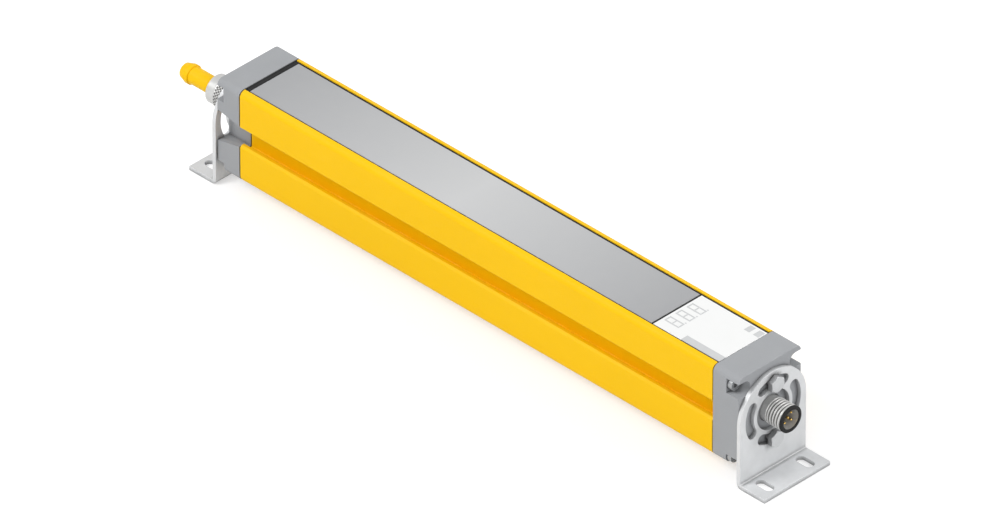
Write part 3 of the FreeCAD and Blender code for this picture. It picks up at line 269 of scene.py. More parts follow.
def plated_cells():
    """The faint crystal cells of plated sheet."""
    tree, given, result = effect("Plated cells", {"Cell Size": 0.002}, {"Value": float})
    place = stretched(tree, [given["Cell Size"]] * 3)
    cells = add(tree, "TexVoronoi", {"Vector": place, "Scale": 1.0}).outputs["Color"]
    grey = add(tree, "SeparateColor", {0: cells}).outputs[0]
    tree.links.new(grey, result["Value"])
    return tree


def groove_shade():
    """Dirt and shade in the grooves of a thread or a knurl, between two places along X."""
    start = {"Crest Radius": 0.006, "Depth": 0.0005, "Axis Height": 0.03, "Low End": -1.0, "High End": 1.0}
    tree, given, result = effect("Groove shade", start, {"Mask": float})
    place = add(tree, "SeparateXYZ", {0: place_on_piece(tree)}).outputs
    rise = calc(tree, "SUBTRACT", place["Z"], given["Axis Height"])
    squares = calc(tree, "MULTIPLY_ADD", rise, rise, calc(tree, "MULTIPLY", place["Y"], place["Y"]))
    below = calc(tree, "SUBTRACT", given["Crest Radius"], calc(tree, "SQRT", squares))
    share = calc(tree, "DIVIDE", below, given["Depth"])
    held = calc(tree, "MULTIPLY", calc(tree, "MINIMUM", share, 1.0), calc(tree, "LESS_THAN", share, 1.2))
    past = calc(tree, "GREATER_THAN", place["X"], given["Low End"])
    before = calc(tree, "LESS_THAN", place["X"], given["High End"])
    within = calc(tree, "MULTIPLY", past, before)
    tree.links.new(calc(tree, "MULTIPLY", held, within, clamp=True), result["Mask"])
    return tree


MOULDED_GRAIN = moulded_grain()
COLOUR_DRIFT = colour_drift()
DRAWN_LINES = drawn_lines()
RUBBED_EDGES = rubbed_edges()
CORNER_SHADE = corner_shade()
SETTLED_DUST = settled_dust()
FINE_SCRATCHES = fine_scratches()
PLATED_CELLS = plated_cells()
GROOVE_SHADE = groove_shade()


class Finish:
    """A material round one Principled shader, with the shared effects placed in it."""

    def __init__(self, name, colour, roughness, metallic=0.0, **sockets):
        self.material = bpy.data.materials.new(name)
        self.material.use_nodes = True
        self.tree = self.material.node_tree
        self.shader = self.tree.nodes["Principled BSDF"]
        self.shader.inputs["Metallic"].default_value = metallic
        for key, number in sockets.items():
            self.shader.inputs[key.replace("_", " ")].default_value = number
        self.colour = colour + (1.0,)
        self.roughness = roughness

    def use(self, group, **inputs):
        """Place a shared effect with its own values, and give its first output."""
        node = self.tree.nodes.new("ShaderNodeGroup")
        node.node_tree = group
        for key, given in inputs.items():
            socket = node.inputs[key.replace("_", " ")]
            if isinstance(given, bpy.types.NodeSocket):
                self.tree.links.new(given, socket)
            else:
                socket.default_value = given
        return node.outputs[0]

    def drift(self, size, amount):
        self.colour = self.use(COLOUR_DRIFT, Colour=self.colour, Cloud_Size=size, Amount=amount)

    def tint(self, mask, colour):
        """Mix another colour in by a mask."""
        self.colour = blend_colours(self.tree, mask, self.colour, colour + (1.0,))

    def vary_roughness(self, mask, swing):
        """Spread the roughness by this much either way over a mask."""
        low, high = self.roughness - swing, self.roughness + swing
        self.roughness = spread(self.tree, mask, 0.25, 0.75, low, high)

    def rougher(self, mask, rough):
        node = add(self.tree, "Mix", {"Factor": mask, "B": rough})
        if isinstance(self.roughness, bpy.types.NodeSocket):
            self.tree.links.new(self.roughness, node.inputs["A"])
        else:
            node.inputs["A"].default_value = self.roughness
        self.roughness = node.outputs[0]

    def bump(self, height, depth, strength=1.0):
        """Raise the surface by a height map, over any bump that is there."""
        inputs = {"Height": height, "Distance": depth, "Strength": strength}
        last = self.shader.inputs["Normal"].links
        if last:
            inputs["Normal"] = last[0].from_socket
        bump = add(self.tree, "Bump", inputs)
        self.tree.links.new(bump.outputs[0], self.shader.inputs["Normal"])

    def done(self):
        for label, given in (("Base Color", self.colour), ("Roughness", self.roughness)):
            if isinstance(given, bpy.types.NodeSocket):
                self.tree.links.new(given, self.shader.inputs[label])
            else:
                self.shader.inputs[label].default_value = given
        return self.material


# Finishes, one for each material slot of the record

YELLOW = (0.92, 0.545, 0.001)
CAP_GREY = (0.335, 0.345, 0.36)
# Dark colour for painted shade in corners, joints and grooves
PAINTED_SHADE = (0.045, 0.042, 0.04)
DUST = (0.62, 0.60, 0.56)
NEAR_BLACK = (0.010, 0.010, 0.010)
# The lens's painted highlight grey for its middle, and its darker grey for its ends
LENS_PAINTED_HIGHLIGHT, LENS_END_GREY = (0.55, 0.555, 0.56, 1.0), (0.355, 0.36, 0.37, 1.0)


def yellow_powder_coat():
    """Powder coat over an aluminium extrusion: die lines show faintly through it."""
    finish = Finish("Yellow powder coat", YELLOW, 0.42, Specular_IOR_Level=0.15)
    finish.drift(0.05, 0.05)
    grain = finish.use(MOULDED_GRAIN, Grain_Size=0.0009)
    lines = finish.use(DRAWN_LINES, Length_X=0.6, Length_Y=0.0011, Length_Z=0.0011)
    finish.vary_roughness(grain, 0.08)
    worn = finish.use(RUBBED_EDGES, Width=0.0004, Patch_Size=0.006, Amount=0.3)
    finish.tint(worn, (1.0, 0.72, 0.20))
    dust = finish.use(SETTLED_DUST, Amount=0.02, Patch_Size=0.02)
    finish.tint(dust, DUST)
    finish.rougher(dust, 0.8)
    finish.bump(grain, 0.00007)
    finish.bump(lines, 0.00006, 0.6)
    return finish.done()


def grey_cap_moulding():
    """Glass-filled nylon with a fine spark-eroded grain."""
    finish = Finish("Grey cap moulding", CAP_GREY, 0.52, Specular_IOR_Level=0.3)
    finish.drift(0.012, 0.05)
    grain = finish.use(MOULDED_GRAIN, Grain_Size=0.0005)
    finish.vary_roughness(grain, 0.08)
    worn = finish.use(RUBBED_EDGES, Width=0.0005, Patch_Size=0.003, Amount=0.4)
    finish.tint(worn, (0.46, 0.47, 0.48))
    # Painted shade darkens the cap's corners, joints and pockets
    finish.tint(finish.use(CORNER_SHADE, Reach=0.0015, Amount=0.6), PAINTED_SHADE)
    dust = finish.use(SETTLED_DUST, Amount=0.04, Patch_Size=0.008)
    finish.tint(dust, DUST)
    finish.bump(grain, 0.00006)
    return finish.done()


def black_seal_rubber():
    """Matt rubber, a little dusty."""
    finish = Finish("Black seal rubber", NEAR_BLACK, 0.62, Specular_IOR_Level=0.25)
    finish.drift(0.004, 0.25)
    grain = finish.use(MOULDED_GRAIN, Grain_Size=0.0004)
    finish.vary_roughness(grain, 0.1)
    finish.tint(finish.use(SETTLED_DUST, Amount=0.1, Patch_Size=0.006), (0.08, 0.08, 0.08))
    finish.bump(grain, 0.00003)
    return finish.done()


def cap_screw_steel():
    finish = Finish("Cap screw steel", (0.34, 0.35, 0.36), 0.36, metallic=0.6)
    finish.drift(0.002, 0.2)
    finish.tint(finish.use(RUBBED_EDGES, Width=0.0003, Patch_Size=0.001, Amount=0.6), (0.75, 0.75, 0.75))
    # Painted shade darkens the screws' corners and joints
    finish.tint(finish.use(CORNER_SHADE, Reach=0.001, Amount=0.8), PAINTED_SHADE)
    turned = finish.use(DRAWN_LINES, Length_X=0.0003, Length_Y=0.01, Length_Z=0.01)
    finish.bump(turned, 0.00002)
    return finish.done()


def insert_steel():
    finish = Finish("Insert steel", (0.30, 0.30, 0.31), 0.4, metallic=0.7)
    finish.drift(0.002, 0.2)
    finish.bump(finish.use(DRAWN_LINES, Length_X=0.0002, Length_Y=0.01, Length_Z=0.01), 0.00002)
    return finish.done()


def plated_steel(name, colour, cell, along):
    """Zinc plate on rolled sheet or a cold-headed bolt, as a finish that can still be added to."""
    finish = Finish(name, colour, 0.42, metallic=0.22, Specular_IOR_Level=0.35)
    cells = finish.use(PLATED_CELLS, Cell_Size=cell)
    finish.vary_roughness(cells, 0.05)
    finish.drift(0.006, 0.10)
    across = 0.0003
    lengths = {f"Length_{axis}": 0.03 if axis == along else across for axis in "XYZ"}
    rolled = finish.use(DRAWN_LINES, **lengths)
    finish.tint(finish.use(RUBBED_EDGES, Width=0.0004, Patch_Size=0.002, Amount=0.3), (0.72, 0.72, 0.72))
    # Painted shade darkens corners, joints and the plate round the bolt heads and slots
    finish.tint(finish.use(CORNER_SHADE, Reach=0.0022, Amount=1.0), PAINTED_SHADE)
    scratches = finish.use(FINE_SCRATCHES, Reach=0.012, Amount=0.35)
    finish.rougher(scratches, 0.55)
    finish.bump(rolled, 0.00002, 0.6)
    finish.bump(scratches, 0.00002, 0.4)
    return finish


def bracket_steel():
    return plated_steel("Zinc plated bracket", (0.67, 0.68, 0.69), 0.0018, "Y").done()


def bolt_steel():
    """Zinc plate, with painted shade on the sides of the heads, darker the less they face along the bolt.
    """
    finish = plated_steel("Zinc plated bolt", (0.57, 0.58, 0.59), 0.0009, "Z")
    normal = add(finish.tree, "NewGeometry").outputs["Normal"]
    endways = calc(finish.tree, "ABSOLUTE", add(finish.tree, "SeparateXYZ", {0: normal}).outputs["X"])
    # Painted shade: faces turned away from the bolt's axis go towards dark grey
    finish.tint(spread(finish.tree, endways, 0.3, 0.9, 0.75, 0.0), (0.14, 0.14, 0.145))
    return finish.done()


def nickel_plate(name, roughness, crest, depth, ends):
    """Bright plate over turned brass, with painted shade and some dirt in the grooves of its thread or
    knurl.
    """
    finish = Finish(name, (0.58, 0.58, 0.57), roughness, metallic=0.4)
    finish.drift(0.003, 0.08)
    low, high = sorted(ends)
    limits = {"Axis_Height": AXIS_HEIGHT, "Low_End": low, "High_End": high}
    grooves = finish.use(GROOVE_SHADE, Crest_Radius=crest, Depth=depth, **limits)
    # Painted shade, with some dirt: the grooves go towards the dark shade colour
    finish.tint(spread(finish.tree, grooves, 0.15, 0.7, 0.0, 0.92), PAINTED_SHADE)
    finish.rougher(grooves, 0.6)
    turned = finish.use(DRAWN_LINES, Length_X=0.00025, Length_Y=0.02, Length_Z=0.02)
    finish.tint(spread(finish.tree, turned, 0.4, 0.8, 0.0, 0.2), (0.66, 0.65, 0.63))
    finish.bump(turned, 0.00001)
    return finish.done()


def nickel_shell():
    ends = [CAP_FACE["cable_end"] + out for out in (THREAD_START, THREAD_END)]
    return nickel_plate("Nickel plated shell", 0.3, SHELL_RADIUS, THREAD_DEPTH, ends)


def nickel_nut():
    ends = [CAP_FACE["plug_end"] - out for out in (NUT_START, GRIP_END)]
    return nickel_plate("Nickel plated nut", 0.34, NUT_RADIUS, KNURL_DEPTH, ends)


def grey_carrier():
    finish = Finish("Grey contact carrier", (0.85, 0.86, 0.87), 0.5, Specular_IOR_Level=0.3)
    finish.drift(0.003, 0.1)
    finish.bump(finish.use(MOULDED_GRAIN, Grain_Size=0.0003), 0.00003)
    return finish.done()


def gold_contact():
    finish = Finish("Gold plated contact", (0.52, 0.34, 0.10), 0.25, metallic=1.0)
    finish.drift(0.001, 0.25)
    finish.bump(finish.use(DRAWN_LINES, Length_X=0.0001, Length_Y=0.01, Length_Z=0.01), 0.00001)
    return finish.done()


def circuit_board():
    """Green solder mask over copper tracks."""
    finish = Finish("Circuit board", (0.010, 0.085, 0.035), 0.35, Coat_Weight=0.4, Coat_Roughness=0.15)
    tracks = finish.use(PLATED_CELLS, Cell_Size=0.0022)
    finish.tint(spread(finish.tree, tracks, 0.55, 0.56, 0.0, 0.6), (0.02, 0.16, 0.07))
    finish.drift(0.01, 0.1)
    finish.bump(tracks, 0.00003)
    return finish.done()


def black_moulding():
    finish = Finish("Black moulding", (0.018, 0.018, 0.019), 0.55)
    finish.drift(0.005, 0.25)
    grain = finish.use(MOULDED_GRAIN, Grain_Size=0.0004)
    finish.vary_roughness(grain, 0.08)
    finish.bump(grain, 0.00004)
    return finish.done()


def yellow_plug_moulding():
    finish = Finish("Yellow plug moulding", YELLOW, 0.42, Specular_IOR_Level=0.15)
    finish.drift(0.006, 0.05)
    grain = finish.use(MOULDED_GRAIN, Grain_Size=0.0005)
    finish.vary_roughness(grain, 0.06)
    finish.tint(finish.use(SETTLED_DUST, Amount=0.03, Patch_Size=0.004), DUST)
    finish.bump(grain, 0.00004)
    return finish.done()


def tinted_lens():
    """Grey acrylic with a satin face, with a painted highlight: lighter along its middle and darker
    towards both ends.
    """
    finish = Finish("Tinted lens acrylic", CAP_GREY, 0.38, Specular_IOR_Level=0.2)
    low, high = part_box("lens_window")
    along = add(finish.tree, "SeparateXYZ", {0: place_on_piece(finish.tree)}).outputs["X"]
    off = calc(finish.tree, "ABSOLUTE", calc(finish.tree, "SUBTRACT", along, (low.x + high.x) / 2))
    share = spread(finish.tree, off, 0.0, (high.x - low.x) / 2)
    # Painted highlight: lighter grey in the middle of the lens, darker grey at both ends
    finish.colour = blend_colours(finish.tree, share, LENS_PAINTED_HIGHLIGHT, LENS_END_GREY)
    finish.drift(0.02, 0.012)
    dust = finish.use(SETTLED_DUST, Amount=0.03, Patch_Size=0.006)
    finish.tint(dust, DUST)
    finish.rougher(dust, 0.6)
    finish.rougher(finish.use(FINE_SCRATCHES, Reach=0.02, Amount=0.08), 0.45)
    finish.bump(finish.use(MOULDED_GRAIN, Grain_Size=0.004), 0.00003, 0.4)
    return finish.done()


def opal_panel():
    finish = Finish("Opal display panel", (0.83, 0.835, 0.83), 0.35, Coat_Weight=0.2, Coat_Roughness=0.15)
    finish.drift(0.01, 0.015)
    dust = finish.use(SETTLED_DUST, Amount=0.05, Patch_Size=0.005)
    finish.tint(dust, DUST)
    finish.rougher(dust, 0.6)
    finish.bump(finish.use(MOULDED_GRAIN, Grain_Size=0.0008), 0.00001, 0.5)
    return finish.done()


def grey_window():
    """Satin diffusing plastic of the digits and indicators, unlit."""
    finish = Finish("Unlit indicator window", (0.56, 0.57, 0.575), 0.4, Coat_Weight=0.1)
    finish.drift(0.003, 0.06)
    finish.bump(finish.use(MOULDED_GRAIN, Grain_Size=0.0003), 0.00002, 0.5)
    return finish.done()


def clear_lens():
    finish = Finish("Clear lens moulding", (0.75, 0.78, 0.80), 0.12, Coat_Weight=0.8)
    finish.drift(0.01, 0.04)
    finish.bump(finish.use(MOULDED_GRAIN, Grain_Size=0.003), 0.00002, 0.3)
    return finish.done()


def led_body():
    finish = Finish("Indicator light body", (0.80, 0.78, 0.70), 0.25, Coat_Weight=0.5)
    finish.drift(0.0006, 0.1)
    finish.bump(finish.use(MOULDED_GRAIN, Grain_Size=0.0002), 0.00001)
    return finish.done()


def chip_package():
    finish = Finish("Chip package", (0.013, 0.013, 0.015), 0.6)
    finish.drift(0.002, 0.3)
    grain = finish.use(MOULDED_GRAIN, Grain_Size=0.00025)
    finish.vary_roughness(grain, 0.1)
    finish.bump(grain, 0.00003)
    return finish.done()


def capacitor_can():
    finish = Finish("Drawn aluminium can", (0.78, 0.78, 0.79), 0.3, metallic=1.0)
    finish.drift(0.003, 0.1)
    finish.bump(finish.use(DRAWN_LINES, Length_X=0.0002, Length_Y=0.0002, Length_Z=0.01), 0.00001)
    return finish.done()


FINISH_OF_SLOT = {
    "yellow_housing": yellow_powder_coat(),
    "grey_cap": grey_cap_moulding(),
    "black_rubber": black_seal_rubber(),
    "screw_steel": cap_screw_steel(),
    "insert_steel": insert_steel(),
    "bracket_steel": bracket_steel(),
    "bolt_steel": bolt_steel(),
    "nickel_shell": nickel_shell(),
    "nickel_nut": nickel_nut(),
    "grey_carrier": grey_carrier(),
    "gold_contact": gold_contact(),
    "circuit_board": circuit_board(),
    "black_plastic": black_moulding(),
    "yellow_plug": yellow_plug_moulding(),
    "grey_lens": tinted_lens(),
    "opal_panel": opal_panel(),
    "grey_window": grey_window(),
    "clear_lens": clear_lens(),
    "led_body": led_body(),
    "dark_chip": chip_package(),
    "can_metal": capacitor_can(),
}


# Mesh helpers

WELD, NEARLY_FLAT = 2e-6, math.radians(0.5)


def piece_from(mesh, name):
    """Turn built geometry into an object in the scene."""
    data = bpy.data.meshes.new(name)
    bmesh.ops.recalc_face_normals(mesh, faces=mesh.faces)
    mesh.to_mesh(data)
    mesh.free()
    piece = bpy.data.objects.new(name, data)
    bpy.context.scene.collection.objects.link(piece)
    return piece


def ease_edges(piece, width, segments=2, sharper_than=30):
    """Round a piece's sharp edges, with flat faces left flat in the shading."""
    for face in piece.data.polygons:
        face.use_smooth = True
    bevel = piece.modifiers.new("Eased edges", "BEVEL")
    bevel.width, bevel.segments = width, segments
    bevel.limit_method, bevel.angle_limit = "ANGLE", math.radians(sharper_than)
    bevel.face_strength_mode = "FSTR_ALL"
    normals = piece.modifiers.new("Flat faces", "WEIGHTED_NORMAL")
    normals.use_face_influence = True
    normals.weight = 100


def stand_for(piece, *nodes):
    """The piece takes its nodes' place, body, slot and finish."""
    slot = SLOT_OF[nodes[0]]
    piece.data.materials.append(FINISH_OF_SLOT[slot])
    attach(piece, BODY_OF[nodes[0]])
    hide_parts(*nodes)


def eased_copy(node, width):
    """A node's own shape with its triangles merged into faces and its edges rounded."""
    mesh = bmesh.new()
    mesh.from_mesh(frame["nodes"][node].data)
    bmesh.ops.remove_doubles(mesh, verts=mesh.verts, dist=WELD)
    bmesh.ops.recalc_face_normals(mesh, faces=mesh.faces)
    bmesh.ops.dissolve_limit(mesh, angle_limit=NEARLY_FLAT, verts=mesh.verts, edges=mesh.edges)
    piece = piece_from(mesh, f"eased_{node}")
    ease_edges(piece, width)
    stand_for(piece, node)


def turned(name, end, profile, relief=None, segments=96):
    """Turn a closed profile about the swivel axis.

    Each point is (distance out from the cap's face, radius), or with True after them where
    relief(distance, turn) lowers the radius, as on a thread or a knurl.
    """
    mesh = bmesh.new()
    face, outwards = CAP_FACE[end], OUTWARDS[end]
    rings = []
    for out, radius, *marked in profile:
        ring = []
        for step in range(segments):
            turn = 2 * math.pi * step / segments
            reach = radius - (relief(out, turn) if marked else 0)
            place = (face + outwards * out, reach * math.sin(turn), AXIS_HEIGHT + reach * math.cos(turn))
            ring.append(mesh.verts.new(place))
        rings.append(ring)
    for place, ring in enumerate(rings):
        following = rings[(place + 1) % len(rings)]
        for step in range(segments):
            beside = (step + 1) % segments
            corners = (ring[step], ring[beside], following[beside], following[step])
            if len(set(corners)) == 4:
                mesh.faces.new(corners)
    bmesh.ops.remove_doubles(mesh, verts=mesh.verts, dist=1e-7)
    return piece_from(mesh, name)


def stepped(start, end, step):
    """Evenly spaced places from start to end, near this step apart."""
    count = max(1, round((end - start) / step))
    return [start + (end - start) * number / count for number in range(count + 1)]


# Connector shells: a smooth base, a screw thread and a bore

SHELL_TIP = 12.2 * MM
THREAD_PITCH = 1.5 * MM
THREAD_FLANK = 0.4
THREAD_STEPS = 10
BASE_RADIUS = 5.75 * MM
BORE_RADIUS = 4.45 * MM
RUN_OUT, TIP_CHAMFER, BORE_CHAMFER = 0.3 * MM, 0.5 * MM, 0.2 * MM
SHELL_REAR, SHELL_REAR_RADIUS, SHOULDER = -8.2 * MM, 7.5 * MM, -3.5 * MM


def thread_relief(out, turn):
    """How far a rolled thread lies below its crests, running out at both ends."""
    phase = (out / THREAD_PITCH - turn / (2 * math.pi)) % 1
    groove = max(0, 1 - abs(phase - 0.5) / THREAD_FLANK)
    ends = min(out - THREAD_START, THREAD_END - out) / (0.6 * THREAD_PITCH)
    return THREAD_DEPTH * groove * min(1, max(0, ends))


def connector_shell(end):
    profile = [(SHELL_REAR, BORE_RADIUS), (SHELL_REAR, SHELL_REAR_RADIUS), (SHOULDER, SHELL_REAR_RADIUS)]
    profile += [(SHOULDER, BASE_RADIUS), (THREAD_START - RUN_OUT, BASE_RADIUS)]
    step = THREAD_PITCH / THREAD_STEPS
    profile += [(out, SHELL_RADIUS, True) for out in stepped(THREAD_START, THREAD_END, step)]
    profile += [(SHELL_TIP - TIP_CHAMFER, SHELL_RADIUS), (SHELL_TIP, SHELL_RADIUS - TIP_CHAMFER)]
    profile += [(SHELL_TIP, BORE_RADIUS + BORE_CHAMFER), (SHELL_TIP - BORE_CHAMFER, BORE_RADIUS)]
    piece = turned(f"{end}_threaded_shell", end, profile, thread_relief, 72)
    ease_edges(piece, 0.08 * MM, 1, 50)
    stand_for(piece, f"{end}_connector_shell")


RIM_PROUD, RIM_REACH, RIM_DEPTH, RIM_SUNK = 0.12 * MM, 1.0 * MM, 0.5 * MM, 0.2 * MM
RIM_INSIDE, RIM_OUTER_CHAMFER, RIM_INNER_CHAMFER = 0.02 * MM, 0.4 * MM, 0.15 * MM


def painted_shade_ring():
    """Painted shade: a black rim over the cable connector's front edge, standing in for the shade in the
    mouth of the bore.
    """
    tip, back = SHELL_TIP + RIM_PROUD, SHELL_TIP - RIM_REACH
    outer, inner = SHELL_RADIUS + RIM_PROUD, BORE_RADIUS - RIM_INSIDE
    sunk = SHELL_RADIUS - RIM_SUNK
    profile = [(back, sunk), (back, outer)]
    profile += [(tip - RIM_OUTER_CHAMFER, outer), (tip, outer - RIM_OUTER_CHAMFER)]
    profile += [(tip, inner + RIM_INNER_CHAMFER), (tip - RIM_INNER_CHAMFER, inner)]
    profile += [(tip - RIM_DEPTH, inner), (tip - RIM_DEPTH, sunk)]
    piece = turned("connector_painted_shade_ring", "cable_end", profile, segments=72)
    ease_edges(piece, 0.1 * MM, 2)
    piece.data.materials.append(FINISH_OF_SLOT["black_rubber"])
    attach(piece, BODY_OF["cable_end_connector_shell"])


# Coupling nut of the closing plug: a knurled grip behind a plain sleeve

NUT_BORE, NUT_MOUTH = 6.03 * MM, 3.95 * MM
NUT_LIP, NUT_STEP, NUT_CHAMFER = 1.5 * MM, 0.35 * MM, 0.5 * MM
KNURL_TEETH, KNURL_PITCH, KNURL_STEP = 30, 1.75 * MM, 0.22 * MM
KNURL_FRONT, KNURL_BACK, KNURL_FADE = 0.5 * MM, 0.3 * MM, 0.4 * MM


def knurl_relief(out, turn):
    """Two crossing sets of grooves, fading out at the grip's ends."""
    along = 2 * math.pi * (out - NUT_START) / KNURL_PITCH
    waves = [math.cos(KNURL_TEETH * turn + way * along) for way in (-1, 1)]
    groove = 0.5 - 0.25 * sum(waves)
    ends = min(out - NUT_START - KNURL_FRONT, GRIP_END - KNURL_BACK - out) / KNURL_FADE
    return KNURL_DEPTH * groove * min(1, max(0, ends))


def coupling_nut():
    sleeve = NUT_RADIUS - NUT_STEP
    profile = [(NUT_START, NUT_BORE)]
    profile += [(NUT_START, NUT_RADIUS - NUT_CHAMFER), (NUT_START + NUT_CHAMFER, NUT_RADIUS)]
    grip = stepped(NUT_START + NUT_CHAMFER + 0.1 * MM, GRIP_END - KNURL_BACK, KNURL_STEP)
    profile += [(out, NUT_RADIUS, True) for out in grip]
    profile += [(GRIP_END, NUT_RADIUS), (GRIP_END + NUT_STEP, sleeve)]
    profile += [(NUT_END - NUT_CHAMFER, sleeve), (NUT_END, sleeve - NUT_CHAMFER)]
    profile += [(NUT_END, NUT_MOUTH), (NUT_END - NUT_LIP, NUT_MOUTH), (NUT_END - NUT_LIP, NUT_BORE)]
    piece = turned("knurled_coupling_nut", "plug_end", profile, knurl_relief, 240)
    ease_edges(piece, 0.12 * MM, 2, 40)
    stand_for(piece, "plug_coupling_nut")


# Closing plug's moulded body, as (place out, radius) in millimetres

PLUG_PROFILE = {
    "flange": [(13.2, 4.2), (13.2, 5.8), (17.65, 5.8)],
    "stem": [(17.65, 3.9), (32.0, 3.9)],
    "collar": [(32.0, 4.5), (34.0, 4.5)],
    "nose": [(34.0, 4.25), (34.3, 4.3), (37.1, 3.5), (37.8, 2.6), (38.0, 1.4), (38.0, 0.0)],
    "hollow": [(16.0, 0.0), (16.0, 4.2)],
}


def plug_moulding():
    profile = [(out * MM, radius * MM) for points in PLUG_PROFILE.values() for out, radius in points]
    piece = turned("plug_moulding", "plug_end", profile)
    ease_edges(piece, 0.25 * MM, 3, 35)
    stand_for(piece, "plug_body")


# Bracket bolts: hexagon heads with a turned chamfer and a washer face

HEAD_SEAT, HEAD_HEIGHT, HEAD_FLATS = 2.1 * MM, 2.8 * MM, 7.0 * MM
HEAD_TOP = HEAD_SEAT + HEAD_HEIGHT
BOLT_CIRCLE, BOLT_TIP, BOLT_SHANK, BOLT_POINT = 13.5 * MM, -5.2 * MM, 2.0 * MM, 0.4 * MM
WASHER_FACE, WASHER_RADIUS = 0.3 * MM, 3.25 * MM
CHAMFER_RADIUS, CHAMFER_SLOPE = 3.3 * MM, math.tan(math.radians(30))
DISH_RADIUS, DISH_DEPTH = 2.4 * MM, 0.15 * MM
HEAD_STEPS = 72
TO_HEXAGON = None
BOLT_PROFILE = [
    (BOLT_TIP, BOLT_SHANK - BOLT_POINT),
    (BOLT_TIP + BOLT_POINT, BOLT_SHANK),
    (HEAD_SEAT, BOLT_SHANK),
    (HEAD_SEAT, WASHER_RADIUS),
    (HEAD_SEAT + WASHER_FACE, WASHER_RADIUS),
    (HEAD_SEAT + WASHER_FACE, TO_HEXAGON),
    (HEAD_TOP, TO_HEXAGON),
    (HEAD_TOP, CHAMFER_RADIUS),
    (HEAD_TOP - DISH_DEPTH, DISH_RADIUS),
]


def hex_radius(turn):
    """How far a hexagon with upright flats reaches at a turn from straight up."""
    sixth = math.pi / 3
    return HEAD_FLATS / 2 / math.cos((turn + sixth) % sixth - sixth / 2)


def bolt_place(out, radius, turn):
    """A point of the bolt's profile, taken out to the hexagon and under its chamfer where it says so."""
    if radius is not TO_HEXAGON:
        return out, radius
    reach = hex_radius(turn)
    return min(out, HEAD_TOP - max(0, reach - CHAMFER_RADIUS) * CHAMFER_SLOPE), reach


def bolt(mesh, end, height):
    face, outwards = CAP_FACE[end], OUTWARDS[end]
    rings = []
    for out, radius in BOLT_PROFILE:
        ring = []
        for step in range(HEAD_STEPS):
            turn = 2 * math.pi * step / HEAD_STEPS
            away, reach = bolt_place(out, radius, turn)
            place = (face + outwards * away, reach * math.sin(turn), height + reach * math.cos(turn))
            ring.append(mesh.verts.new(place))
        rings.append(ring)
    for ring, following in zip(rings, rings[1:]):
        for step in range(HEAD_STEPS):
            beside = (step + 1) % HEAD_STEPS
            mesh.faces.new((ring[step], ring[beside], following[beside], following[step]))
    mesh.faces.new(rings[0])
    mesh.faces.new(rings[-1])


def bracket_bolts(end):
    mesh = bmesh.new()
    for side in (-1, 1):
        bolt(mesh, end, AXIS_HEIGHT + side * BOLT_CIRCLE)
    piece = piece_from(mesh, f"{end}_hexagon_bolts")
    ease_edges(piece, 0.12 * MM, 2, 25)
    stand_for(piece, f"{end}_bracket_bolts")


# Brackets: round-topped plates of sheet, bent to a foot. Each is laid out flat, u across
# and v down from the crown, cut, thickened and then folded.

SHEET, SLIP, BEND_INSIDE = 2.0 * MM, 0.05 * MM, 0.6 * MM
PLATE_HALF, PLATE_BORE = 19.0 * MM, 9.25 * MM
SLOT_CIRCLE, SLOT_HALF, SLOT_TURN = 13.5 * MM, 2.4 * MM, math.radians(28)
FOOT_REACH = 15.9 * MM
FOOT_SLOT_MIDDLE, FOOT_SLOT_ASIDE = 8.9 * MM, 11.6 * MM
FOOT_SLOT_RADIUS, FOOT_SLOT_RUN = 2.2 * MM, 4.6 * MM
FOLD_CENTRE = SLIP + SHEET + BEND_INSIDE
FOLD_START = PLATE_HALF + AXIS_HEIGHT - SHEET - BEND_INSIDE
FOLD_LENGTH = 2.0 * MM
FOLD_STEPS = 10
TRIANGLES_WITHIN, SAME_PLACE = 1, 1e-7
FOLD_END = FOLD_START + FOLD_LENGTH
FLAT_END = FOLD_END + FOOT_REACH - FOLD_CENTRE
FOOT_SLOTS_DOWN = FOLD_END + FOOT_SLOT_MIDDLE - FOLD_CENTRE


def arc(centre, radius, first, last, steps):
    """Points along an arc, by turns from the u direction towards v."""
    turns = [first + (last - first) * step / steps for step in range(steps + 1)]
    return [(centre[0] + radius * math.cos(turn), centre[1] + radius * math.sin(turn)) for turn in turns]


def curved_slot(facing):
    """A slot about the swivel axis with round ends, centred on a direction."""
    axis, first, last = (0.0, PLATE_HALF), facing - SLOT_TURN, facing + SLOT_TURN
    ends = [arc(axis, SLOT_CIRCLE, turn, turn, 1)[0] for turn in (first, last)]
    loop = arc(axis, SLOT_CIRCLE + SLOT_HALF, first, last, 20)
    loop += arc(ends[1], SLOT_HALF, last, last + math.pi, 14)[1:]
    loop += arc(axis, SLOT_CIRCLE - SLOT_HALF, last, first, 20)[1:]
    return loop + arc(ends[0], SLOT_HALF, first + math.pi, first + 2 * math.pi, 14)[1:-1]


def foot_slot(side):
    across, half = side * FOOT_SLOT_ASIDE, FOOT_SLOT_RUN / 2
    near, far = (across, FOOT_SLOTS_DOWN - half), (across, FOOT_SLOTS_DOWN + half)
    return arc(near, FOOT_SLOT_RADIUS, -math.pi, 0, 16) + arc(far, FOOT_SLOT_RADIUS, 0, math.pi, 16)


def inside(loop, across, down):
    """Whether a place lies inside a loop, by how often a line from it crosses the loop."""
    within = False
    for (u, v), (next_u, next_v) in zip(loop, loop[1:] + loop[:1]):
        if (v > down) != (next_v > down) and across < u + (down - v) * (next_u - u) / (next_v - v):
            within = not within
    return within


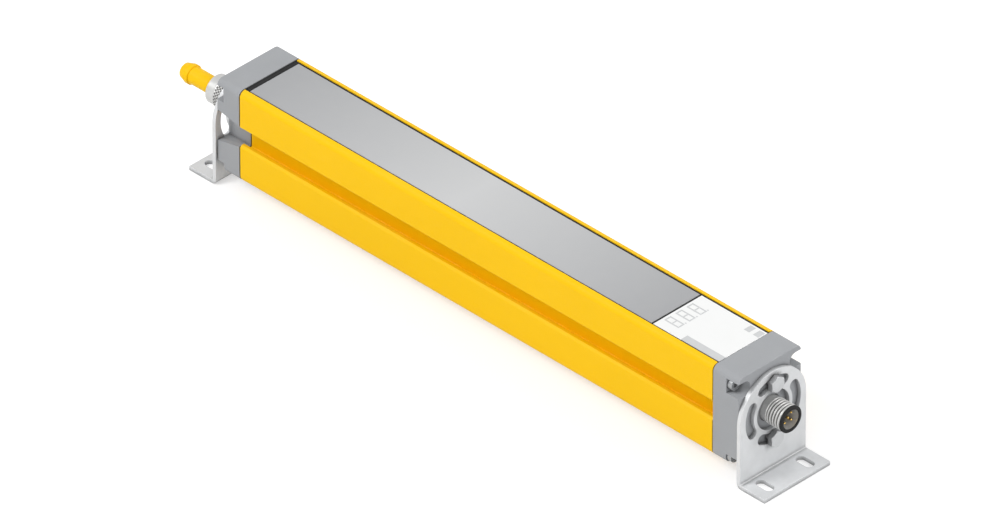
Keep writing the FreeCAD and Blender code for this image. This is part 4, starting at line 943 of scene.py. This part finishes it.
def fill_round_holes(mesh, outline, holes, seams):
    """Fill a flat outline round its open holes, with faces that meet only along straight seams."""
    points, edges = [], []
    for loop in [outline] + holes:
        numbers = [len(points) + place for place in range(len(loop))]
        edges += zip(numbers, numbers[1:] + numbers[:1])
        points += [Vector(place) for place in loop]
    for seam in seams:
        edges.append((len(points), len(points) + 1))
        points += [Vector(place) for place in seam]
    filled = delaunay_2d_cdt(points, edges, [], TRIANGLES_WITHIN, SAME_PLACE)
    places, sides, faces, sources = filled[0], filled[1], filled[2], filled[4]
    corners = {}
    for face in faces:
        middle = sum((places[number] for number in face), Vector((0, 0))) / len(face)
        if any(inside(hole, middle.x, middle.y) for hole in holes):
            continue
        for number in face:
            if number not in corners:
                corners[number] = mesh.verts.new((places[number].x, places[number].y, 0))
        mesh.faces.new([corners[number] for number in face])
    drawn = {frozenset(side) for side, source in zip(sides, sources) if source}
    number_of = {corner: number for number, corner in corners.items()}
    ends = {edge: frozenset(number_of[corner] for corner in edge.verts) for edge in mesh.edges}
    bmesh.ops.dissolve_edges(mesh, edges=[edge for edge in mesh.edges if ends[edge] not in drawn])


def folded(place):
    """Where a point of the flat plate comes to: distance out, across and height."""
    across, down, depth = place
    if down <= FOLD_START:
        return SLIP + SHEET - depth, across, AXIS_HEIGHT + PLATE_HALF - down
    if down >= FOLD_END:
        return FOLD_CENTRE + down - FOLD_END, across, SHEET - depth
    turn = (down - FOLD_START) / FOLD_LENGTH * math.pi / 2
    reach = BEND_INSIDE + depth
    return FOLD_CENTRE - reach * math.cos(turn), across, SHEET + BEND_INSIDE - reach * math.sin(turn)


def bent_bracket(end):
    """Fill the flat outline round its holes, crease it where it folds, thicken it and fold it."""
    mesh = bmesh.new()
    outline = [(PLATE_HALF, FLAT_END), (-PLATE_HALF, FLAT_END)]
    outline += arc((0.0, PLATE_HALF), PLATE_HALF, math.pi, 2 * math.pi, 64)
    bore = arc((0.0, PLATE_HALF), PLATE_BORE, 0, 2 * math.pi, 80)[:-1]
    slots = [curved_slot(quarter * math.pi / 2) for quarter in range(4)]
    levels = [PLATE_HALF, FOOT_SLOTS_DOWN]
    levels += [FOLD_START + FOLD_LENGTH * step / FOLD_STEPS for step in range(FOLD_STEPS + 1)]
    seams = [((-PLATE_HALF, down), (PLATE_HALF, down)) for down in levels] + [((0, 0), (0, FLAT_END))]
    fill_round_holes(mesh, outline, [bore, foot_slot(-1), foot_slot(1)] + slots, seams)
    grown = bmesh.ops.extrude_face_region(mesh, geom=list(mesh.faces))["geom"]
    raised = [corner for corner in grown if isinstance(corner, bmesh.types.BMVert)]
    bmesh.ops.translate(mesh, verts=raised, vec=(0, 0, SHEET))
    face, outwards = CAP_FACE[end], OUTWARDS[end]
    for corner in mesh.verts:
        out, across, height = folded(corner.co)
        corner.co = (face + outwards * out, across, height)
    piece = piece_from(mesh, f"{end}_bent_bracket")
    ease_edges(piece, 0.127 * MM)
    stand_for(piece, f"{end}_bracket")


# Pieces that keep their solid's shape, with their edges rounded by this much

EASED = {
    "housing_extrusion": 0.25,
    "plug_end_cap": 0.3,
    "cable_end_cap": 0.3,
    "plug_end_cap_screws": 0.2,
    "cable_end_cap_screws": 0.2,
    "lens_window": 0.15,
    "window_end_seal": 0.3,
    "window_gasket": 0.12,
    "cable_end_contact_pins": 0.1,
    "cable_end_contact_carrier": 0.15,
}


# Studio: a pale floor, soft lamps and a white surround

FLOOR_RADIUS, FLOOR_LIFT = 4.0, 0.5
SURROUND_LIGHT = 0.45
# Each lamp's place, width and power, all turned to the object
LAMPS = {
    "Key softbox": ((-0.9, -1.9, 2.2), 1.2, 49.0),
    "Side softbox": ((1.9, 1.2, 1.5), 1.0, 24.0),
    "Back softbox": ((-0.4, 2.2, 1.8), 1.6, 10.0),
    "Front softbox": ((1.6, -1.8, 0.9), 1.6, 12.0),
}


def seen_white(tree):
    """One for what the eye, a gloss or a clear piece sees, and nought for what lights the object."""
    path = add(tree, "LightPath").outputs
    either = calc(tree, "MAXIMUM", path["Is Camera Ray"], path["Is Glossy Ray"])
    return calc(tree, "MAXIMUM", either, path["Is Transmission Ray"])


def floor():
    mesh = bmesh.new()
    bmesh.ops.create_circle(mesh, cap_ends=True, radius=FLOOR_RADIUS, segments=64)
    piece = piece_from(mesh, "studio_floor")
    piece.location.z = min(0.0, cad_low.z)
    finish = Finish("Studio floor", (0.66, 0.66, 0.66), 0.9)
    finish.drift(0.5, 0.01)
    material = finish.done()
    tree = finish.tree
    strength = calc(tree, "MULTIPLY", seen_white(tree), FLOOR_LIFT)
    lift = add(tree, "Emission", {"Strength": strength}).outputs[0]
    both = add(tree, "AddShader", {0: finish.shader.outputs[0], 1: lift}).outputs[0]
    tree.links.new(both, tree.nodes["Material Output"].inputs["Surface"])
    piece.data.materials.append(material)


def studio_light():
    world = bpy.data.worlds.new("White surround")
    bpy.context.scene.world = world
    world.use_nodes = True
    tree = world.node_tree
    strength = spread(tree, seen_white(tree), 0.0, 1.0, SURROUND_LIGHT, 1.0)
    background = tree.nodes["Background"]
    tree.links.new(strength, background.inputs["Strength"])
    background.inputs["Color"].default_value = (1.0, 1.0, 1.0, 1.0)
    for name, (place, size, power) in LAMPS.items():
        lamp = bpy.data.lights.new(name, "AREA")
        lamp.shape, lamp.size, lamp.energy = "DISK", size, power
        holder = bpy.data.objects.new(name, lamp)
        holder.location = place
        holder.rotation_mode = "QUATERNION"
        holder.rotation_quaternion = Vector(place).to_track_quat("Z", "Y")
        bpy.context.scene.collection.objects.link(holder)
    bpy.context.scene.view_settings.view_transform = "Standard"


photo_camera()
for node, width in EASED.items():
    eased_copy(node, width * MM)
for end in ENDS:
    connector_shell(end)
    bracket_bolts(end)
    bent_bracket(end)
painted_shade_ring()
coupling_nut()
plug_moulding()
for node, solid in frame["nodes"].items():
    for slot in solid.material_slots:
        slot.material = FINISH_OF_SLOT[SLOT_OF[node]]
floor()
studio_light()
